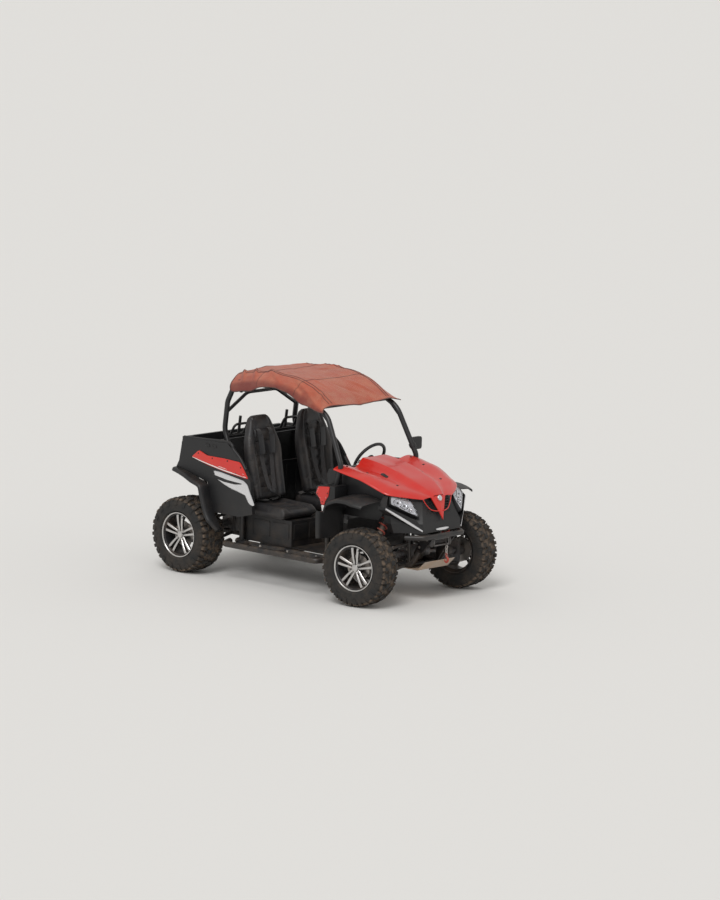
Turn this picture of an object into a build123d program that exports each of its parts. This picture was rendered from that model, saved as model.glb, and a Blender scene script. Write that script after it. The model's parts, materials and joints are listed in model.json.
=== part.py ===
from build123d import *
import os
from math import atan2, cos, degrees, pi, radians, sin, tan

os.makedirs("parts", exist_ok=True)

# A two-seat dune buggy, in millimetres. X points to its left, Y to its tail and Z up.
# The origin is on the ground, under the middle of its length and width.

# Driving dimensions of the whole vehicle
wheelbase = 2040
overall_width = 1510        # over the tyres' outer walls, wheels straight
nose_reach = 400            # from the front axle to the bumper's face
belly_drop = 45             # from the wheels' axes down to the frame's underside
steer_now = 8               # degrees, the front wheels as parked, turned to the left
running_gap = 0.3           # between faces that move on each other or only touch
panel_wall = 6
lamp_depth = 30
winch_plate = 12            # the plates that carry the bumper and the winch

# Wheels and tyres
tyre_radius = 330
front_tyre_width = 230
rear_tyre_width = 280
rim_flange_radius = 195
rim_barrel_radius = 178
rim_wall = 9
rim_inset = 14              # from the tyre's wall to the rim's flange, each side
lug_count = 18
lug_height = 16
spindle_radius = 22
hub_radius = 52
brake_disc_radius = 112
brake_disc_thickness = 6
spoke_pairs = 5

# Suspension and steering
kingpin_inboard = 78        # from the front wheel's centre plane to the steering axis
ball_joint_height = 92      # above and below the wheel's centre
steer_arm_length = 110
steer_arm_lift = 34         # the steering arms above the wheels' axes
column_tilt = 32            # degrees above level, the steering column
steering_wheel_radius = 178
shock_radius = 24
coil_radius = 43
drive_lift = 45             # the final drives' shafts above the wheels' axes
drive_ball_radius = 18
drive_flange_half = 145      # from the middle to a final drive's flange
boot_radius = 35

# Frame, cage and cab
rail_half = 170             # from the middle to each main rail
post_spread = 148           # from an axle to the posts ahead of it and behind it
front_post_half = 230       # from the middle to the front posts' tops
front_post_z = 870
rear_post_half = 300
arm_bar_diameter = 20       # the upper arms' bars, which carry the shocks
shock_bar_diameter = 28     # the frame's bars above the shocks
tube_diameter = 45
light_tube_diameter = 30
floor_half_width = 500
cage_half_width = 435
cage_top_z = 1690           # middle of the roof rails
canopy_wall = 9
canopy_rise = 72            # from the roof rails' middle to the canopy's outer face
hoop_setback = 285          # the rear hoop's foot, ahead of the rear axle
seat_spacing = 312          # from the middle to each seat
seat_width = 420
seat_box_z = 560
cushion_top_z = 681
engine_size = (400, 290, 430)

# Cargo bed
bed_half_width = 600
bed_length = 350
bed_floor_z = 900
bed_top_z = 1166
bed_wall = 12
cowl_x = 600                # the inner face of the side plates ahead of the doorways
wing_wall_x = 425           # the inner face of the front wings' upright walls
tailgate_half_width = 494
tailgate_thickness = 26
tailgate_pin_radius = 4
tailgate_barrel_radius = 6
tie_spacing_x = 900         # the bed floor's four holes for a load's bolts
tie_spacing_y = 200
tie_hole_radius = 5.5
hitch_hole_radius = 9.5      # for the shank of a tow ball
hitch_plate = 14

# Places that follow from them
overall_length = nose_reach + wheelbase + tyre_radius
y_nose = -overall_length / 2
y_front = y_nose + nose_reach
y_rear = y_front + wheelbase
z_axle = tyre_radius
x_front_wheel = (overall_width - front_tyre_width) / 2
x_rear_wheel = (overall_width - rear_tyre_width) / 2
x_kingpin = x_front_wheel - kingpin_inboard
z_floor = tyre_radius - belly_drop
z_rail = z_floor + tube_diameter / 2
y_hoop = y_rear - hoop_setback
y_bed_back = y_rear + 105
y_bed_front = y_bed_back - bed_length
y_dash_bar = y_front + 380
z_dash_bar = 870
z_rack = z_axle + steer_arm_lift + 14 + running_gap
z_low_ball = z_axle - ball_joint_height - 15 - running_gap
z_high_ball = z_axle + ball_joint_height + 15 + running_gap
rear_post_z = bed_floor_z - running_gap - light_tube_diameter / 2
x_body_side = bed_half_width + 38
sill_x = floor_half_width - tube_diameter / 2
y_cab_front = y_front + 400
y_cab_back = y_hoop - 130
y_tail_tube = y_rear + 150
z_tail_tube = z_rail + 150
y_tailgate_hinge = y_bed_back + running_gap + tailgate_thickness - tailgate_barrel_radius
z_tailgate_hinge = bed_floor_z + 11


def box(x0, x1, y0, y1, z0, z1):
    return Pos((x0 + x1) / 2, (y0 + y1) / 2, (z0 + z1) / 2) * Box(abs(x1 - x0), abs(y1 - y0), abs(z1 - z0))


def rod(start, end, diameter):
    """A straight round bar between two points."""
    run = Vector(*end) - Vector(*start)
    foot = Plane(origin=start, z_dir=run)
    return foot * Cylinder(diameter / 2, run.length, align=(Align.CENTER, Align.CENTER, Align.MIN))


def tube(points, diameter, bends):
    """A bar bent round the inner points, one radius for each."""
    path = FilletPolyline(*points, radius=bends)
    foot = Plane(origin=path @ 0, z_dir=path % 0)
    return sweep(foot * Circle(diameter / 2), path=path)


def side_prism(outline, x0, x1):
    """An outline of (y, z) points, drawn out across the vehicle from x0 to x1."""
    face = Plane(origin=(min(x0, x1), 0, 0), x_dir=(0, 1, 0), z_dir=(1, 0, 0)) * Polygon(*outline, align=None)
    return extrude(face, amount=abs(x1 - x0), dir=(1, 0, 0))


def panel(corners, thickness):
    """A flat plate whose outer face passes through the first three of its corners."""
    first, second, third = [Vector(*corner) for corner in corners[:3]]
    face = Plane(origin=first, x_dir=second - first, z_dir=(second - first).cross(third - first))
    outline = [face.to_local_coords(Vector(*corner)) for corner in corners]
    return extrude(face * Polygon(*[(p.X, p.Y) for p in outline], align=None), amount=thickness, dir=-face.z_dir)


def ribbon(points, thickness):
    """The outline of a sheet that follows (y, z) points, its thickness laid to the right of them."""
    headings = [atan2(z1 - z0, y1 - y0) for (y0, z0), (y1, z1) in zip(points, points[1:])]
    inner = []
    for i, (y, z) in enumerate(points):
        before = headings[max(i - 1, 0)]
        after = headings[min(i, len(headings) - 1)]
        half_turn = ((after - before + pi) % (2 * pi) - pi) / 2
        reach = thickness / cos(half_turn)
        middle = before + half_turn
        inner.append((y + reach * sin(middle), z - reach * cos(middle)))
    return points + inner[::-1]


def mirrored(shape):
    return mirror(shape, about=Plane.YZ)


def both_sides(shape):
    return shape + mirrored(shape)


def steered(shape, side):
    """Turns a front wheel's piece about its kingpin, to where it is parked."""
    pin = Axis((side * x_kingpin, y_front, 0), (0, 0, 1))
    return shape.rotate(pin, steer_now)


def on_side(shape, side):
    return shape if side > 0 else mirrored(shape)


def facet_ring(x, flat_radius):
    """A regular outline across the tyre's axis, one flat for each lug, at the flats' own radius."""
    face = Plane(origin=(x, 0, 0), x_dir=(0, 1, 0), z_dir=(1, 0, 0))
    return face * RegularPolygon(flat_radius / cos(pi / lug_count), lug_count, rotation=180 / lug_count)


def tyre(width):
    """A chunky tyre about the X axis, its outer wall towards +X, with a flat facet under each lug."""
    half = width / 2
    bead = rim_flange_radius + 1.5
    crown = tyre_radius - lug_height
    # columns: share of the half width, radius
    stations = [
        (-0.80, bead), (-1.00, rim_flange_radius + 55), (-0.92, crown - 26), (-0.48, crown),
        (0.48, crown), (0.92, crown - 26), (1.00, rim_flange_radius + 55), (0.80, bead),
    ]
    carcass = Part() + [
        loft([facet_ring(a * half, ra), facet_ring(b * half, rb)], ruled=True)
        for (a, ra), (b, rb) in zip(stations, stations[1:])
    ]
    pitch = 2 * pi / lug_count

    def lug_ring(x0, x1, share, phase, outer):
        outline = []
        inner = crown - 24
        for i in range(lug_count):
            middle = (i + phase) * pitch
            for angle, radius in ((-share, inner), (-share, outer), (share, outer), (share, inner)):
                outline.append((radius * cos(middle + angle * pitch), radius * sin(middle + angle * pitch)))
        return side_prism(outline, x0, x1)

    # columns: start and end as shares of the half width, share of the pitch, phase, radius
    for x0, x1, share, phase, outer in (
        (-0.90, -0.51, 0.21, 0.26, tyre_radius - 4), (0.51, 0.90, 0.21, -0.26, tyre_radius - 4),
        (-0.44, 0.44, 0.20, 0.0, tyre_radius),
    ):
        carcass += lug_ring(x0 * half, x1 * half, share, phase, outer / cos(share * pitch))
    carcass -= extrude(facet_ring(-width, rim_barrel_radius + running_gap), amount=2 * width, dir=(1, 0, 0))
    flange_in = half - rim_inset - 12
    for x in (-flange_in - width, flange_in):
        carcass -= extrude(facet_ring(x, rim_flange_radius + running_gap), amount=width, dir=(1, 0, 0))
    return carcass


def rim(width):
    """A cast wheel about the X axis, its face towards +X, with its hub and brake disc."""
    edge = width / 2 - rim_inset
    inner = rim_barrel_radius - rim_wall
    profile = [
        (-edge, rim_flange_radius), (-edge + 12, rim_flange_radius), (-edge + 12, rim_barrel_radius),
        (edge - 12, rim_barrel_radius), (edge - 12, rim_flange_radius), (edge, rim_flange_radius),
        (edge, rim_flange_radius - 8), (edge - 16, inner), (-edge + 16, inner), (-edge, rim_flange_radius - 8),
    ]
    wheel = revolve(Plane.XY * Polygon(*profile, align=None), axis=Axis.X)
    face_out = edge - 14
    face_in = edge - 44
    inside = Rot(0, 90, 0) * Cylinder(rim_barrel_radius - 3, width)
    for i in range(spoke_pairs):
        for side in (-1, 1):
            spoke = [(side * 4, 30), (side * 30, 32), (side * 74, inner + 12), (side * 38, inner + 12)]
            blade = side_prism(spoke, face_in, face_out) & inside
            wheel += blade.rotate(Axis.X, i * 360 / spoke_pairs)
    hub_in = face_out - 70
    wheel += Pos((hub_in + face_out) / 2, 0, 0) * (Rot(0, 90, 0) * Cylinder(hub_radius, face_out - hub_in))
    disc_x = hub_in + brake_disc_thickness / 2
    wheel += Pos(disc_x, 0, 0) * (Rot(0, 90, 0) * Cylinder(brake_disc_radius, brake_disc_thickness))
    bore_depth = 56
    bore = Rot(0, 90, 0) * Cylinder(spindle_radius + running_gap, bore_depth)
    return wheel - Pos(hub_in + bore_depth / 2, 0, 0) * bore


def hub_inner_face(width):
    """How far the hub's inner end lies out from the wheel's centre plane."""
    return width / 2 - rim_inset - 14 - 70


def upright(x_wheel, width, y, x_inner):
    """The carrier between two ball joints, with the spindle that the wheel turns on."""
    hub_in = x_wheel + hub_inner_face(width)
    post = box(x_inner - 16, x_inner + 16, y - 45, y + 45, z_axle - ball_joint_height, z_axle + ball_joint_height)
    boss_end = hub_in - 12
    boss = rod((x_inner - 16, y, z_axle), (boss_end, y, z_axle), 96)
    spindle = rod((boss_end - 1, y, z_axle), (hub_in + 50, y, z_axle), 2 * spindle_radius)
    return post + boss + spindle


def knuckle(side):
    """A front upright with the arm behind it that the tie rod moves, and the drive joint's socket."""
    piece = upright(x_front_wheel, front_tyre_width, y_front, x_kingpin)
    z = z_axle + steer_arm_lift
    piece += box(x_kingpin - 14, x_kingpin + 14, y_front + 20, y_front + steer_arm_length, z - 7, z + 7)
    piece += Pos(x_kingpin, y_front + steer_arm_length, z) * Cylinder(16, 14)
    socket = Pos(x_kingpin, y_front, z_axle) * Sphere(drive_ball_radius + running_gap)
    mouth = Rot(0, -90, 0) * Cone(15, 33, 18, align=(Align.CENTER, Align.CENTER, Align.MIN))
    piece -= socket
    piece -= Pos(x_kingpin, y_front, z_axle) * mouth
    return steered(on_side(piece, side), side)


def steer_arm_end(side):
    """Where the end of a parked steering arm lies, as x and y."""
    turn = radians(steer_now)
    return side * x_kingpin - steer_arm_length * sin(turn), y_front + steer_arm_length * cos(turn)


def tie_rods():
    """The rack's bar with a boot and a tie rod to each side, its eyes just above the arms."""
    z = z_rack
    rack_y = y_front + steer_arm_length
    shift = -steer_arm_length * sin(radians(steer_now))
    piece = rod((shift - 190, rack_y, z), (shift + 190, rack_y, z), 20)
    for side in (-1, 1):
        x, y = steer_arm_end(side)
        joint = shift + side * 190
        piece += rod((joint - side * 14, rack_y, z), (joint + side * 14, rack_y, z), 28)
        piece += rod((joint + side * 8, rack_y, z), (x, y, z), 12)
        piece += Pos(x, y, z) * Cylinder(13, 14)
    return piece


def steering_column():
    """The rack's housing on the frame, and the column up to the steering wheel."""
    z = z_rack
    rack_y = y_front + steer_arm_length
    housing = rod((-112, rack_y, z), (112, rack_y, z), 46) - rod((-113, rack_y, z), (113, rack_y, z), 21)
    seat_z = z_rail + light_tube_diameter / 2 + running_gap
    for x in (-84, 84):
        housing += box(x - 20, x + 20, rack_y - 12, rack_y + 12, seat_z, z - 18)
    x, y, top_z = steering_wheel_centre()
    reach = 61 + running_gap
    foot_y = y - 330
    foot_z = top_z - 330 * tan(radians(column_tilt))
    end = (x, y - reach * cos(radians(column_tilt)), top_z - reach * sin(radians(column_tilt)))
    column = rod((x, foot_y, foot_z), end, 40)
    link = rod((95, rack_y + 18, z), (x, foot_y + 8, foot_z + 5), 20)
    return housing + link + column


def steering_wheel_centre():
    return seat_spacing + 5, y_front + 790, 1045


def steering_wheel():
    """Ring, three spokes and hub on the end of the column."""
    x, y, z = steering_wheel_centre()
    facing = Plane(origin=(x, y, z), x_dir=(1, 0, 0), z_dir=(0, cos(radians(column_tilt)), sin(radians(column_tilt))))
    ring = Torus(steering_wheel_radius - 14, 14)
    hub = Pos(0, 0, -28) * Cylinder(46, 66)
    piece = ring + hub
    for angle in (180, 0, -90):
        piece += Pos(0, 0, -12) * Rot(0, 0, angle) * Pos(steering_wheel_radius / 2 - 4, 0, 0) * Box(
            steering_wheel_radius - 20, 34, 8)
    return facing * piece


def frame_rail(diameter, side):
    """One of the two long rails, turned up at its ends."""
    x = side * rail_half
    return tube([
        (x, y_front - 250, z_rail + 130), (x, y_front - 160, z_rail), (x, y_rear + 120, z_rail),
        (x, y_tail_tube, z_tail_tube),
    ], diameter, [70, 70])


def outer_sill(diameter, side):
    """The bent tube that carries the floor's outer edge."""
    x = side * sill_x
    return tube([
        (side * rail_half, y_cab_front, z_rail), (x, y_cab_front, z_rail), (x, y_cab_back, z_rail),
        (side * rail_half, y_cab_back, z_rail),
    ], diameter, [80, 80])


def frame_bars():
    """Every tube of the lower frame in the order of its making, as (maker of the shape at a diameter, diameter)."""
    def straight(start, end):
        return lambda diameter: rod(start, end, diameter)

    def bent(maker, side):
        return lambda diameter: maker(diameter, side)

    bars = [(straight((-rail_half - 24, y_tail_tube, z_tail_tube), (rail_half + 24, y_tail_tube, z_tail_tube)),
             tube_diameter)]
    bars += [(bent(frame_rail, side), tube_diameter) for side in (-1, 1)]
    bars += [(bent(outer_sill, side), tube_diameter - 1) for side in (-1, 1)]
    for y in (y_front - post_spread, y_front + steer_arm_length, y_cab_front, y_front + 900, y_cab_back, y_rear - 130,
              y_rear + 90):
        bars.append((straight((-rail_half, y, z_rail), (rail_half, y, z_rail)), light_tube_diameter))
    # the posts that hold the upper arms and the shocks, under the bars that tie them
    posts = []
    for y_axle, top_x, top_z in ((y_front, front_post_half, front_post_z), (y_rear, rear_post_half, rear_post_z)):
        for y in (y_axle - post_spread, y_axle + post_spread):
            # one bar of the front runs out to the walls of the wings
            end = wing_wall_x - running_gap if y == y_front + post_spread else top_x + 22
            bars.append((straight((-end, y, top_z), (end, y, top_z)), light_tube_diameter))
            posts += [(straight((side * rail_half, y, z_rail), (side * top_x, y, top_z)), light_tube_diameter)
                      for side in (-1, 1)]
        bars += [(straight((side * top_x, y_axle - post_spread, top_z), (side * top_x, y_axle + post_spread, top_z)),
                  shock_bar_diameter) for side in (-1, 1)]
    bars += posts
    # the bar under the dash, with the stays ahead of it and under it
    bars.append((straight((-418, y_dash_bar, z_dash_bar), (418, y_dash_bar, z_dash_bar)), light_tube_diameter))
    for side in (-1, 1):
        knee = (side * 400, y_dash_bar, z_dash_bar)
        bars.append((straight((side * front_post_half, y_front + post_spread, front_post_z), knee), light_tube_diameter))
        bars.append((straight(knee, (side * sill_x, y_cab_front + 80, z_rail)), light_tube_diameter))
    return bars


def near(shape, other):
    """Whether the boxes round two shapes meet."""
    a = shape.bounding_box()
    b = other.bounding_box()
    return all(low <= high for low, high in (
        (a.min.X, b.max.X), (b.min.X, a.max.X), (a.min.Y, b.max.Y), (b.min.Y, a.max.Y), (a.min.Z, b.max.Z),
        (b.min.Z, a.max.Z)))


def coped(bars):
    """The bars as solids of their own, each cut a running gap clear of the ones made before it."""
    done = []
    solids = []
    for maker, diameter in bars:
        shape = maker(diameter)
        for cutter in done:
            if near(shape, cutter):
                shape -= cutter
        solids.append(max(shape.solids(), key=lambda solid: solid.volume))
        done.append(maker(diameter + 2 * running_gap))
    return solids


def whole_frame():
    """The long rails and sills, and apart from them the cross tubes, posts, stays and the plate for a tow ball."""
    end = y_rear + tyre_radius - 12
    hitch = box(-32, 32, y_tail_tube, y_tail_tube + 52, z_tail_tube - 28, z_tail_tube + 28)
    hitch += box(-32, 32, y_tail_tube, end, z_tail_tube - hitch_plate / 2, z_tail_tube + hitch_plate / 2)
    hitch -= Pos(0, end - 28, z_tail_tube) * Cylinder(hitch_hole_radius, 4 * hitch_plate)
    hitch -= rod((-60, y_tail_tube, z_tail_tube), (60, y_tail_tube, z_tail_tube), tube_diameter + 2 * running_gap)
    hitch = max(hitch.solids(), key=lambda solid: solid.volume)
    tail_tube, *solids = coped(frame_bars())
    long_tubes = solids[:4]
    return Compound(children=long_tubes), Compound(children=[tail_tube, *solids[4:], hitch])


def floor_pan():
    """The cab's floor with its toe board, seat boxes, tunnel and pedals."""
    t = panel_wall
    z = z_floor + tube_diameter + running_gap
    half = floor_half_width - tube_diameter - 4
    y_toe = y_front + 400
    y_back = y_hoop - 170
    seat_front = y_hoop - 790
    seat_z = seat_box_z
    pan = box(-half, half, y_toe + 60, y_back, z, z + t)
    pan += side_prism(ribbon([(y_toe - 40, z + 330), (y_toe, z + 110), (y_toe + 64, z)], -t), -half + 60, half - 60)
    box_shell = box(-half, half, seat_front, y_back, z, seat_z) - box(
        -half + t, half - t, seat_front + t, y_back - t, z - 1, seat_z - t)
    pan += box_shell
    tunnel = box(-70, 70, y_toe + 40, seat_front + 3, z, z + 210) - box(
        -70 + t, 70 - t, y_toe, seat_front + 1, z - 1, z + 210 - t)
    pan += tunnel
    pan += rod((0, seat_front - 90, z + 205), (0, seat_front - 60, z + 360), 14)
    pan += Pos(0, seat_front - 60, z + 370) * Sphere(24)
    for x in (seat_spacing - 60, seat_spacing + 60):
        pan += box(x - 32, x + 32, y_toe + 66, y_toe + 74, z + 90, z + 160)
        pan += rod((x, y_toe - 4, z + 125), (x, y_toe + 70, z + 125), 16)
    return pan


def skid_plate():
    """The dusty plate under the nose, turned up at its front end."""
    outline = ribbon([
        (y_front - 330, z_floor + 75), (y_front - 250, z_floor - running_gap), (y_front + 380, z_floor - running_gap),
    ], 5)
    return side_prism(outline, -rail_half - 18, rail_half + 18)


def cage_tube(side, diameter):
    """A pillar from the sill, the roof rail and the rear leg, as one bent tube."""
    x = cage_half_width
    foot_x = floor_half_width - tube_diameter / 2
    y_pillar = y_front + 400
    y_cab_back = y_hoop - 130
    foot_z = z_floor + tube_diameter + running_gap
    points = [
        (foot_x, y_pillar + 120, foot_z), (foot_x, y_pillar + 120, 640), (x + 38, y_pillar - 15, 1112),
        (x, y_pillar + 190, 1512), (x - 5, y_pillar + 545, cage_top_z), (x - 5, y_hoop - 80, cage_top_z),
        (x, y_hoop + 15, 1500), (x, y_hoop + 45, 1250), (foot_x, y_cab_back - 100, 700), (foot_x, y_cab_back - 100, foot_z),
    ]
    return on_side(tube(points, diameter, [150, 90, 200, 140, 120, 110, 160, 120]), side)


def cage_side(side):
    """One side of the cage, with the gusset at the pillar's upper bend."""
    y_pillar = y_front + 400
    x = cage_half_width - 2
    gusset = rod((x, y_pillar + 150, 1434), (x, y_pillar + 310, 1577), light_tube_diameter - 8)
    return cage_tube(side, tube_diameter) + on_side(gusset, side)


def cage_room(shape):
    """The shape with the cage's tubes and a running gap cut away from it."""
    for side in (-1, 1):
        shape -= cage_tube(side, tube_diameter + 2 * running_gap)
    return shape


def cage_cross_bars():
    """Front and rear roof bars, the arched brace, the shoulder bar and the hoops behind the seats."""
    x = cage_half_width
    front_y = y_front + 700
    rear_y = y_hoop - 220
    brace_y = y_hoop + 26
    shoulder_y = y_hoop + 20
    shoulder_z = 1200
    bars = rod((-x, front_y, 1571), (x, front_y, 1571), light_tube_diameter)
    bars += rod((-x, rear_y, cage_top_z), (x, rear_y, cage_top_z), light_tube_diameter)
    bars += tube([
        (-x, brace_y, 1405), (-180, brace_y, 1556), (180, brace_y, 1556), (x, brace_y, 1405),
    ], light_tube_diameter, [140, 140])
    bars += rod((-x, shoulder_y, shoulder_z), (x, shoulder_y, shoulder_z), light_tube_diameter)
    for side in (-1, 1):
        # the hoop behind each seat, and the upright grip beside it
        bars += tube([
            (side * 230, shoulder_y, shoulder_z), (side * 230, y_hoop - 35, 1300), (side * 390, y_hoop - 35, 1300),
            (side * 390, shoulder_y, shoulder_z),
        ], light_tube_diameter - 8, [35, 35])
        bars += rod((side * 290, shoulder_y, shoulder_z), (side * 290, y_hoop - 2, 1362), 26)
    return cage_room(bars)


def canopy():
    """The fabric roof as one closed sheet, over the rails and down to its side hems."""
    outer = canopy_rise + cage_top_z
    # columns: y, top z, half width of the flat top, hem half width, hem z
    sections = [
        (y_hoop - 20, outer, 330, 484, outer - 160),
        (y_hoop - 400, outer + 26, 340, 488, outer - 88),
        (y_hoop - 760, outer, 340, 488, outer - 124),
        (y_front + 815, outer - 70, 335, 486, outer - 186),
        (y_front + 612, outer - 196, 330, 484, outer - 232),
    ]

    def section(y, top, flat, hem, hem_z, wall):
        shoulder_z = hem_z + 0.55 * (top - wall - 12 - hem_z)
        low_z = hem_z - 2 * wall
        half = [(flat, top - wall), (hem - 40, top - wall - 12), (hem - wall, shoulder_z), (hem - wall, low_z)]
        outline = [(-px, z) for px, z in half[::-1]] + half
        return Plane(origin=(0, y, 0), x_dir=(1, 0, 0), z_dir=(0, -1, 0)) * Polygon(*outline, align=None)

    outside = loft([section(*row, 0) for row in sections], ruled=True)
    inner_rows = [(y + end, *rest) for (y, *rest), end in zip(sections, (1, 0, 0, 0, -1))]
    inside = loft([section(*row, canopy_wall) for row in inner_rows], ruled=True)
    return outside - inside


def hood_body(over, under):
    """The hood's volume from over its top face to under it."""
    # columns: y from the front axle, z of the middle, bulge, valley, crown and edge, and the edge's half width
    sections = [
        (435, 1140, 1138, 1080, 1112, 1098, 519), (150, 1092, 1088, 1052, 1062, 1040, 498),
        (-112, 1010, 1006, 985, 972, 940, 438), (-290, 915, 912, 905, 896, 890, 175),
    ]

    def section(y, z0, z1, z2, z3, z4, half):
        top = [(half * share, z + over) for share, z in ((0, z0), (0.3, z1), (0.45, z2), (0.8, z3), (1, z4))]
        low = [(px, z - over - under) for px, z in top]
        outline = [(-px, z) for px, z in top[:0:-1]] + top + low[::-1] + [(-px, z) for px, z in low[1:]]
        return Plane(origin=(0, y_front + y, 0), x_dir=(1, 0, 0), z_dir=(0, -1, 0)) * Polygon(*outline, align=None)

    return loft([section(*row) for row in sections], ruled=True)


def hood_room(shape):
    """The shape cut off a running gap under the hood."""
    return shape - hood_body(300, panel_wall + running_gap)


def hood():
    """The sculpted hood as a thin shell, with the V of its nose down between the grille's openings."""
    return cage_room(hood_body(0, panel_wall) + nose_v())


def nose_v():
    """The red V that parts the grille's openings."""
    corners = [(172, y_front - 286, 896), (30, y_front - 288, 896), (0, y_front - 352, 724), (0, y_front - 356, 706)]
    return both_sides(panel(corners, 10))


def lamp_corners():
    """The upper, lower and outer corner of the left lamp's face."""
    return [(434, y_front - 119, 918), (292, y_front - 323, 725), (496, y_front - 158, 842)]


def strip_corners():
    """The left strip under the lamp, from its outer end to the nose and back along its lower edge."""
    return [(500, y_front - 158, 838), (239, y_front - 350, 645), (239, y_front - 344, 619), (500, y_front - 152, 812)]


def nose_fascia():
    """The black nose under the hood, hollow behind, with its grille bars and the lamps' housings."""
    def plan(z, reach, tip_half, outer_y, outer_half, wall):
        points = [(-tip_half + wall / 2, y_front - reach + wall), (tip_half - wall / 2, y_front - reach + wall),
                  (outer_half - wall, y_front - outer_y + wall / 2), (outer_half - wall, y_front - 70),
                  (-outer_half + wall, y_front - 70), (-outer_half + wall, y_front - outer_y + wall / 2)]
        return Plane(origin=(0, 0, z)) * Polygon(*points, align=None)

    # columns: z, y of the tip, its half width, y of the outer corner, its half width
    rows = [(940, 250, 160, 100, 422), (878, 262, 165, 110, 425), (690, 340, 235, 150, 420), (612, 350, 232, 160, 400)]
    nose = loft([plan(*row, 0) for row in rows], ruled=True)
    rows[0] = (941, *rows[0][1:])
    rows[-1] = (611, *rows[-1][1:])
    hollow = loft([plan(*row, panel_wall) for row in rows], ruled=True)
    housing = Part()
    high, low, outer = lamp_corners()
    strip = strip_corners()
    for corners in ((high, low, outer), (low, strip[1], outer), (outer, strip[1], strip[0]), strip[:3],
                    (strip[0], strip[2], strip[3])):
        housing += extrude(make_face(Polyline(*corners, close=True)), amount=300, dir=(0, 1, 0))
    housing -= box(0, 600, y_front - 70, y_front + 400, 500, 1000)
    nose = nose + both_sides(housing) - both_sides(panel(lamp_corners(), lamp_depth + running_gap)) - (hollow + box(-418, 418, y_front - 100, y_front - 60, 600, 950)) - nose_v()
    # the grille's slots, row by row: z of the middle, and how far out each ends
    for z, end in ((858, 158), (838, 152), (818, 140), (798, 120), (778, 96)):
        for side in (-1, 1):
            start = 14 + (z - 778) * 0.2
            nose -= box(side * start, side * end, y_front - 400, y_front - 200, z - 6, z + 6)
    return hood_room(nose)


def headlights():
    return both_sides(panel(lamp_corners(), lamp_depth))


def silver_trims():
    """The bright strips under the lamps and nose, and the bent panel behind each doorway."""
    trims = both_sides(panel(strip_corners(), -8))
    trims += box(-78, 78, y_front - 359, y_front - 349.2 - running_gap, 618, 646)
    outline = [(0, 936), (-60, 930), (-385, 870), (-430, 740), (-505, 680), (-450, 672), (-330, 762)]
    x = x_body_side + running_gap
    trims += both_sides(side_prism([(y_hoop - 55 + y, z) for y, z in outline], x, x + 8))
    return trims


def front_bumper():
    """A black tube across the nose, on two plates that stand against the frame's rails."""
    y = y_nose + tube_diameter / 2
    bumper = tube([
        (-330, y + 150, 572), (-235, y + 10, 576), (0, y, 578), (235, y + 10, 576), (330, y + 150, 572),
    ], tube_diameter, [60, 900, 60])
    x = rail_half - tube_diameter / 2 - running_gap
    for side in (-1, 1):
        bumper += side_prism([(y, 560), (y, 590), (y_front - 250, 560), (y_front - 170, 420), (y_front - 170, z_floor + 15),
                              (y_front - 250, 420)], side * x, side * (x - winch_plate))
    return bumper


def winch():
    """The drum between the bumper's plates, its fairlead and the hook that hangs at the nose."""
    y = y_front - 306
    x = rail_half - tube_diameter / 2 - winch_plate - 2 * running_gap
    piece = Pos(0, y, 520) * (Rot(0, 90, 0) * Cylinder(36, 200))
    piece += both_sides(box(96, x, y - 40, y + 30, 480, 560))
    piece += box(-95, 95, y - 46, y - 38, 488, 552)
    piece += box(-102, 102, y - 46, y + 10, 484, 492)
    piece += rod((40, y - 40, 510), (40, y - 62, 505), 20)
    piece += rod((40, y - 62, 512), (40, y - 62, 400), 14)
    piece += Pos(40, y - 62, 370) * (Rot(0, 90, 0) * Torus(26, 8))
    return piece


def front_fenders():
    """The broad black wings over the front wheels, with their inner walls and the posts behind them."""
    start = running_gap - 70
    arch = [(y_front + y, z) for y, z in ((start, 869), (0, 884), (90, 898), (230, 892), (345, 838),
                                          (382, 700), (392, 520))]
    wing = side_prism(ribbon(arch, panel_wall), wing_wall_x, 735)
    wing += side_prism(ribbon(arch, 34), 729, 735)
    wall = [(y_front + start, 866), (y_front + start, 1000), (y_front + 415, 1150), (y_front + 415, 840),
            (y_front + 340, 836), (y_front + 225, 888), (y_front + 90, 894)]
    wing += side_prism(wall, wing_wall_x, wing_wall_x + panel_wall)
    post = side_prism(cowl_outline(-12), floor_half_width + running_gap, cowl_x - running_gap)
    return both_sides(hood_room(wing + post))


def cowl_outline(lead=0):
    """The side plate ahead of the doorway, as (y, z) points, its front end moved by the lead."""
    return [(y_front + y, z) for y, z in ((350 + lead, 960), (545, 942), (555, 862), (500, 836), (470, 690),
                                          (450, 690), (440, 770), (345 + lead, 838))]


def red_side_panels():
    """Red plates on the body's sides, ahead of and behind the doorway."""
    rear = [(235, 1010), (145, 1082), (50, 1044), (-160, 1044), (-350, 1034), (-395, 975), (-450, 900), (-170, 930),
            (40, 964)]
    x = x_body_side + running_gap
    piece = side_prism([(y_hoop + y, z) for y, z in rear], x, x + 10)
    piece += side_prism(cowl_outline(), cowl_x, cowl_x + 10)
    return both_sides(piece)


def dashboard():
    """The black dash under the hood's rear edge, with the cowl that shades its dials."""
    y0 = y_front + 420
    outline = [(0, 900), (0, 1060), (60, 1085), (150, 1070), (175, 1020), (150, 905)]
    piece = side_prism([(y0 + y, z) for y, z in outline], -floor_half_width + 62, floor_half_width - 62)
    bar_back = y_dash_bar + light_tube_diameter / 2 + running_gap
    piece += box(-370, 370, bar_back, y0 + 5, z_dash_bar - 8, 930)
    x, y, z = steering_wheel_centre()
    slope = tan(radians(column_tilt))
    bore = rod((x, y - 340, z - 340 * slope), (x, y - 20, z - 20 * slope), 40 + 2 * running_gap)
    return hood_room(piece) - bore


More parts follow.
